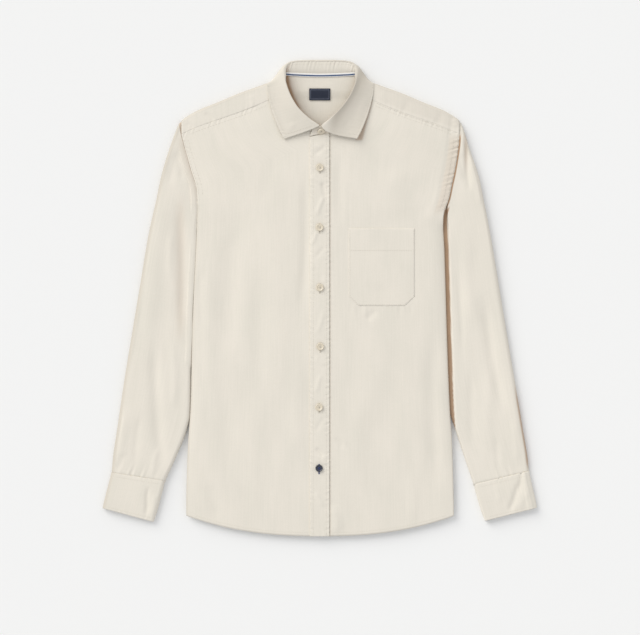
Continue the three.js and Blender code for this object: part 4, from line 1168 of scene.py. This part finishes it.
# %% Stitches on the front
stitches = {}
sewing = bmesh.new()
PLACKET_INSET = 5.5
for x in (PLACKET_LEFT + PLACKET_INSET, PLACKET_RIGHT - PLACKET_INSET):
    v = np.linspace(0.004, 0.996, 400)
    stitch_row(sewing, on_piece(placket_place, np.full_like(v, placket_share(x)), v))
stitches["placket"] = finish_stitches(sewing, "placket_stitches")

sewing = bmesh.new()
POCKET_INSET = 2.2
for side_x in (POCKET_LEFT + POCKET_INSET, POCKET_RIGHT - POCKET_INSET):
    x = np.full(90, side_x)
    y = mix(pocket_bottom(x) + POCKET_INSET, POCKET_TOP - 1, np.linspace(0.0, 1.0, 90))
    stitch_row(sewing, on_piece(pocket_place, *pocket_shares(x, y)))
x = np.linspace(POCKET_LEFT + POCKET_INSET, POCKET_RIGHT - POCKET_INSET, 90)
for y in (pocket_bottom(x) + POCKET_INSET, np.full_like(x, POCKET_HEM + 1.0)):
    stitch_row(sewing, on_piece(pocket_place, *pocket_shares(x, y)))
stitches["pocket"] = finish_stitches(sewing, "pocket_stitches")

for node, side in (("front_right", -1), ("front_left", 1)):
    sewing = bmesh.new()
    start = PLACKET_RIGHT if side > 0 else PLACKET_LEFT
    x = np.linspace(start + side * 3, side * 216, 200)
    stitch_row(sewing, on_front(x, hem_at(x) + 6.0))
    x = side * np.linspace(92, 226, 140)
    for inset in (1.4, 6.4):
        if side > 0 or inset > 2:
            stitch_row(sewing, on_front(x, shoulder_seam(x) - inset), **LONG_SEAM, holes=inset < 2)
    y = np.linspace(UNDERARM[side] + 8, 272, 120)
    for inset in (2.4, 9.2):
        stitch_row(sewing, on_front(side * (edge_half_width(side, y) - inset), y), **LONG_SEAM, holes=side > 0)
    stitches[node] = finish_stitches(sewing, node + "_stitches")

# %% Stitches on the collar, the cuffs and the tape
sewing = bmesh.new()
for low, high in ((0.38, 4.6), (13.4, 17.62)):
    station = np.linspace(low, high, 160)
    stitch_row(sewing, on_piece(leaf_at, station, np.full_like(station, 0.90), lift=0.06))
for station in (0.38, 17.62):
    down = np.linspace(0.12, 0.9, 60)
    stitch_row(sewing, on_piece(leaf_at, np.full_like(down, station), down), **LONG_SEAM, holes=station < NECK_MIDDLE)
stitches["collar_leaf"] = finish_stitches(sewing, "collar_leaf_stitches")

sewing = bmesh.new()
last = STAND["station"][-1]
for level in (0.12, 0.8):
    station = np.linspace(6.2, last - 6.2, 120)
    stitch_row(sewing, on_piece(stand_place, station / last, np.full_like(station, level)))
stitches["collar_stand"] = finish_stitches(sewing, "collar_stand_stitches")

for node, side in (("cuff_right", -1), ("cuff_left", 1)):
    sewing = bmesh.new()
    place = tube_place(side, CUFFS[side], cuff_atop)
    for level in (0.10, 0.90):
        share = np.linspace(0.505, 0.90, 90)
        u = share if side > 0 else 1 - share
        stitch_row(sewing, on_piece(place, u, np.full_like(u, level)))
    stitches[node] = finish_stitches(sewing, node + "_stitches")

stitches["needle_holes"] = finish_stitches(needle_holes, "needle_holes")

# %% Buttonholes
BUTTONHOLE_LONG, BUTTONHOLE_WIDE, BUTTONHOLE_SLIT, BUTTONHOLE_PITCH = 17.0, 2.6, 0.5, 0.62


def buttonhole(name, x, y):
    shape = bmesh.new()
    count = int(BUTTONHOLE_LONG / BUTTONHOLE_PITCH)
    for step in range(count):
        along = mix(-BUTTONHOLE_LONG / 2, BUTTONHOLE_LONG / 2, step / (count - 1))
        for sign in (-1, 1):
            xs = x + sign * np.array([BUTTONHOLE_SLIT, BUTTONHOLE_WIDE]) / 2
            ys = np.full(2, y + along)
            v = (ys - hem_at(xs)) / (placket_top(xs) - hem_at(xs))
            z = placket_place(placket_share(xs), v)[2] + 0.15
            rounded(0.27, xs[0], ys[0], z[0], xs[1], ys[1], z[1], shape, segments=5)
    return as_object(shape, name, keep_smooth=True)


buttonholes = {}
for count, button_y in enumerate(BUTTON_YS, start=1):
    low, high = (np.array(corner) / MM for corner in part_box(f"button_{count}"))
    buttonholes[count] = buttonhole(f"buttonhole_{count}", (low[0] + high[0]) / 2, button_y - 1.5)

# %% [markdown]
# ## Materials
#
# Shader maths is written as Python here. `Wire` wraps one socket, and adding or multiplying wires adds
# Math nodes. `Paint` makes the nodes of one material. The flannel has three scales: the plain weave,
# a brushed nap that blurs it, and faint streaks where thicker yarns run down the cloth.

# %% A small way to write materials
class Wire:
    def __init__(self, paint, socket):
        self.paint = paint
        self.socket = socket

    def math(self, operation, first, second):
        return self.paint.node("ShaderNodeMath", {"operation": operation}, {0: first, 1: second})

    def __add__(self, other):
        return self.math("ADD", self, other)

    def __sub__(self, other):
        return self.math("SUBTRACT", self, other)

    def __mul__(self, other):
        return self.math("MULTIPLY", self, other)

    def __truediv__(self, other):
        return self.math("DIVIDE", self, other)


class Paint:
    def __init__(self, name):
        self.material = bpy.data.materials.new(name)
        self.material.use_nodes = True
        self.tree = self.material.node_tree
        self.surface = self.tree.nodes["Principled BSDF"]

    def node(self, kind, settings=None, values=None, output=0):
        made = self.tree.nodes.new(kind)
        for key, value in (settings or {}).items():
            if key == "stops":
                for stop, (place, colour) in zip(self.stops(made, len(value)), value):
                    stop.position = place
                    stop.color = colour
            else:
                setattr(made, key, value)
        for key, value in (values or {}).items():
            self.feed(made.inputs[key], value)
        return Wire(self, made.outputs[output])

    @staticmethod
    def stops(ramp, count):
        while len(ramp.color_ramp.elements) < count:
            ramp.color_ramp.elements.new(0.5)
        return ramp.color_ramp.elements

    def feed(self, socket, value):
        if isinstance(value, Wire):
            self.tree.links.new(value.socket, socket)
        else:
            socket.default_value = value

    def set(self, **values):
        for name, value in values.items():
            self.feed(self.surface.inputs[name.replace("_", " ")], value)

    def uv(self):
        return self.node("ShaderNodeUVMap", {"uv_map": "cloth"})

    def cloth_place(self, scale_u=1.0, scale_v=1.0):
        return self.node("ShaderNodeMapping", None, {"Vector": self.uv(), "Scale": (scale_u, scale_v, 1.0)})

    def object_place(self):
        return self.node("ShaderNodeTexCoord", None, None, output=3)

    def uv_part(self, part):
        return self.node("ShaderNodeSeparateXYZ", None, {0: self.uv()}, output=part)

    def shade(self, name):
        return self.node("ShaderNodeAttribute", {"attribute_name": name}, None, output=2)

    def bands(self, direction, place, scale, distortion=0.0):
        values = {"Vector": place, "Scale": scale, "Distortion": distortion}
        return self.node("ShaderNodeTexWave", {"bands_direction": direction}, values)

    def grain(self, place, scale, detail=2.0, roughness=0.5):
        values = {"Vector": place, "Scale": scale, "Detail": detail, "Roughness": roughness}
        return self.node("ShaderNodeTexNoise", None, values)

    def blend(self, share, low, high):
        values = {0: share, 6: low, 7: high}
        return self.node("ShaderNodeMix", {"data_type": "RGBA"}, values, output=2)

    def bump(self, height, strength, distance, below=None):
        values = {"Height": height, "Strength": strength, "Distance": distance}
        if below is not None:
            values["Normal"] = below
        return self.node("ShaderNodeBump", None, values)


def colour(red, green, blue):
    return (red, green, blue, 1.0)


# %% Flannel
def flannel(name, light, shade, crevice_shade_colour):
    paint = Paint(name)
    place = paint.cloth_place()
    warp = paint.grain(paint.cloth_place(1.0, 0.03), 420, 4.0, 0.6)
    weft = paint.grain(paint.cloth_place(0.06, 1.0), 520, 2.0, 0.6)
    nap = paint.grain(place, 380, 5.0, 0.7)
    fuzz = paint.grain(place, 2600, 3.0, 0.65)
    cloud = paint.grain(paint.cloth_place(1.0, 0.45), 22, 3.0, 0.5)
    tone = (warp - 0.5) * 0.75 + (weft - 0.5) * 0.18 + (nap - 0.5) * 0.6 + (cloud - 0.5) * 0.9 + 0.5
    # Painted shade: each sheet's two values darken the cloth's colour, to grey along rounded edges and slopes turned
    # from the light, and to warm brown where shade falls between layers and in creases.
    with_grey_shade = paint.blend(paint.shade("turned"), paint.blend(tone, shade, light), GREY_SHADE_COLOUR)
    colour_mix = paint.blend(paint.shade("deep"), with_grey_shade, crevice_shade_colour)
    weave = paint.bump(paint.bands("X", place, 210, 1.5) * paint.bands("Y", place, 210, 1.5), 0.2, 0.0002)
    surface = paint.bump(nap * 0.5 + fuzz * 0.25 + warp * 0.3, 0.5, 0.0004, weave)
    paint.set(Base_Color=colour_mix, Roughness=0.93, Normal=surface, Sheen_Weight=0.16, Sheen_Roughness=0.5)
    paint.surface.inputs["Sheen Tint"].default_value = colour(1.0, 0.97, 0.93)
    paint.surface.inputs["Specular IOR Level"].default_value = 0.2
    return paint.material


CREAM_LIGHT = colour(0.858, 0.795, 0.706)
CREAM_SHADE = colour(0.735, 0.700, 0.614)
# Colours of painted shade: warm brown for shade between layers and in creases, grey for rounded edges and slopes
# turned from the light.
WARM_SHADE_COLOUR = colour(0.44, 0.29, 0.185)
GREY_SHADE_COLOUR = colour(0.44, 0.395, 0.33)
cream_flannel = flannel("cream_flannel", CREAM_LIGHT, CREAM_SHADE, WARM_SHADE_COLOUR)


# %% Thread, tape, label and buttons
def thread(name, tone):
    paint = Paint(name)
    twist = paint.grain(paint.object_place(), 2400, 2.0)
    darker = colour(*(part * 0.72 for part in tone[:3]))
    paint.set(Base_Color=paint.blend(twist, darker, tone), Roughness=0.6, Normal=paint.bump(twist, 0.5, 0.0002))
    return paint.material


def button_gloss(name, tone, swirl):
    paint = Paint(name)
    cloud = paint.grain(paint.object_place(), 260, 3.0, 0.55)
    paint.set(Base_Color=paint.blend(cloud, swirl, tone), Roughness=0.28, Normal=paint.bump(cloud, 0.06, 0.0003))
    paint.surface.inputs["Coat Weight"].default_value = 0.4
    paint.surface.inputs["Coat Roughness"].default_value = 0.12
    return paint.material


def tape_cloth():
    paint = Paint("striped_tape")
    share = paint.uv_part(1) / (TAPE_SIZE[1] * MM)
    pale, navy = colour(0.92, 0.91, 0.88), colour(0.04, 0.085, 0.20)
    stripes = [(0.0, pale), (0.18, pale), (0.22, navy), (0.58, navy), (0.62, pale), (1.0, pale)]
    ramp = paint.node("ShaderNodeValToRGB", {"stops": stripes}, {0: share})
    ribs = paint.bands("X", paint.cloth_place(), 230)
    paint.set(Base_Color=ramp, Roughness=0.85, Normal=paint.bump(ribs, 0.6, 0.0002))
    return paint.material


LINE_FROM_MIDDLE = (15.6, 7.6)


def label_cloth():
    paint = Paint("navy_label")
    from_middle = [
        paint.node("ShaderNodeMath", {"operation": "ABSOLUTE"}, {0: paint.uv_part(part) / (size * MM) - 0.5}) * size
        for part, size in enumerate(LABEL_SIZE)
    ]
    past_line = {part: far - line for part, (far, line) in enumerate(zip(from_middle, LINE_FROM_MIDDLE))}
    edge = paint.node("ShaderNodeMath", {"operation": "MAXIMUM"}, past_line)
    line = paint.node("ShaderNodeMath", {"operation": "COMPARE"}, {0: edge, 1: 0.0, 2: 0.28})
    ribs = paint.bands("Y", paint.cloth_place(), 420)
    navy, frame_line = colour(0.012, 0.018, 0.04), colour(0.16, 0.18, 0.24)
    paint.set(Base_Color=paint.blend(line, navy, frame_line), Roughness=0.7, Normal=paint.bump(ribs, 0.5, 0.0002))
    return paint.material


cream_thread = thread("cream_thread", colour(0.84, 0.785, 0.69))
# A darker thread colour, painted as the shade in the needle holes.
needle_hole_shade = thread("needle_hole_shade", colour(0.60, 0.54, 0.46))
navy_thread = thread("navy_thread", colour(0.03, 0.07, 0.28))
cream_button = button_gloss("cream_button", colour(0.80, 0.73, 0.60), colour(0.66, 0.57, 0.43))
navy_button = button_gloss("navy_button", colour(0.012, 0.016, 0.035), colour(0.03, 0.035, 0.06))
striped_tape = tape_cloth()
navy_label = label_cloth()
print("materials", [material.name for material in bpy.data.materials])

# %% [markdown]
# ## Putting it together
#
# Every piece rides on the one body, and each panel and button stands for its node, whose imported part is
# hidden. For each cloth piece the area of its sheet is printed beside the size of its cut.

# %% Finishes and places
FINISHES = {"neck_tape": striped_tape, "neck_label": navy_label, "button_6": navy_button}


def dress(piece, node, finish, stands=True):
    piece.data.materials.clear()
    piece.data.materials.append(finish)
    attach(piece, "root")
    if stands:
        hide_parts(node)


for node, piece in pieces.items():
    is_button = node.startswith("button")
    finish = FINISHES.get(node, cream_button if is_button else cream_flannel)
    dress(piece, node, finish)
for node, piece in threads.items():
    dark = node == "button_6"
    dress(piece, node, navy_thread if dark else cream_thread, stands=False)
for node, piece in stitches.items():
    dress(piece, node, needle_hole_shade if node == "needle_holes" else cream_thread, stands=False)
for count, piece in buttonholes.items():
    dress(piece, "placket", navy_thread if count == 6 else cream_thread, stands=False)

# %% Cloth sizes
SHEETS = {
    "front_right": (0.25, 0.76), "front_left": (0.228, 0.76), "back": (0.476, 0.70), "yoke": (0.486, 0.17),
    "sleeve_right": (0.27, 0.64), "sleeve_left": (0.27, 0.64), "cuff_right": (0.215, 0.085),
    "cuff_left": (0.215, 0.09), "collar_leaf": (0.46, 0.085), "collar_stand": (0.42, 0.04),
    "placket": (0.0335, 0.70), "pocket": (0.1135, 0.135), "neck_tape": (0.126, 0.01), "neck_label": (0.037, 0.0205),
}
for node, size in SHEETS.items():
    piece = pieces[node]
    area = piece["flat_area"]
    with_pieces = [stitches[node]] if node in stitches else []
    print(node, "flat", size, "area", round(area, 4), "share", round(area / (size[0] * size[1]), 2))

# %% [markdown]
# ## Floor, light and camera
#
# The photo looks straight down on a pale ground that is evenly lit. One large, far light from the upper
# left gives the folds their shade and throws a short soft shadow to the lower right, and the pale room
# keeps the shadows open. The camera has a long lens, so that the edges of the shirt aren't stretched.

# %% Floor
FLOOR_HALF, FLOOR_BELOW = 4.0, 0.0002


def plain_floor():
    shape = bmesh.new()
    bmesh.ops.create_grid(shape, x_segments=1, y_segments=1, size=FLOOR_HALF)
    bmesh.ops.translate(shape, verts=shape.verts, vec=(0, 0, -FLOOR_BELOW))
    made = as_object(shape, "pale_floor")
    paint = Paint("pale_floor")
    paint.set(Base_Color=colour(0.90, 0.90, 0.895), Roughness=0.9)
    made.data.materials.append(paint.material)


plain_floor()


# %% Lights
SUN_FROM = Vector((-0.64, 0.66, 0.55))
sun_data = bpy.data.lights.new("window_light", "SUN")
sun_data.angle = 0.72
sun_data.energy = 1.6
sun_data.color = (1.03, 1.005, 0.955)
sun = add_to_scene("window_light", sun_data)
sun.rotation_euler = (-SUN_FROM).to_track_quat("-Z", "Y").to_euler()
world = bpy.data.worlds.new("pale_room")
bpy.context.scene.world = world
world.use_nodes = True
room = world.node_tree.nodes["Background"].inputs
room["Color"].default_value = colour(0.988, 0.998, 1.014)
room["Strength"].default_value = 0.738
bpy.context.scene.view_settings.view_transform = "Standard"

# %% Camera
PHOTO_WIDE, PHOTO_TALL, MM_PER_PIXEL = 640, 635, 1.7
CENTRE_COLUMN, CENTRE_ROW = 320.5, 298.5
LENS, SENSOR = 100.0, 36.0
SHIRT_HEIGHT = 12.0
camera_data = bpy.data.cameras.new("overhead")
camera_data.lens = LENS
camera_data.sensor_width = SENSOR
camera = add_to_scene("overhead", camera_data)
away = PHOTO_WIDE * MM_PER_PIXEL * LENS / SENSOR + SHIRT_HEIGHT
centre_x = (PHOTO_WIDE / 2 - CENTRE_COLUMN) * MM_PER_PIXEL
centre_y = (CENTRE_ROW - PHOTO_TALL / 2) * MM_PER_PIXEL
camera.location = Vector((centre_x, centre_y, away)) * MM
bpy.context.scene.camera = camera
print("camera", round(away * MM, 3), "m above the table")
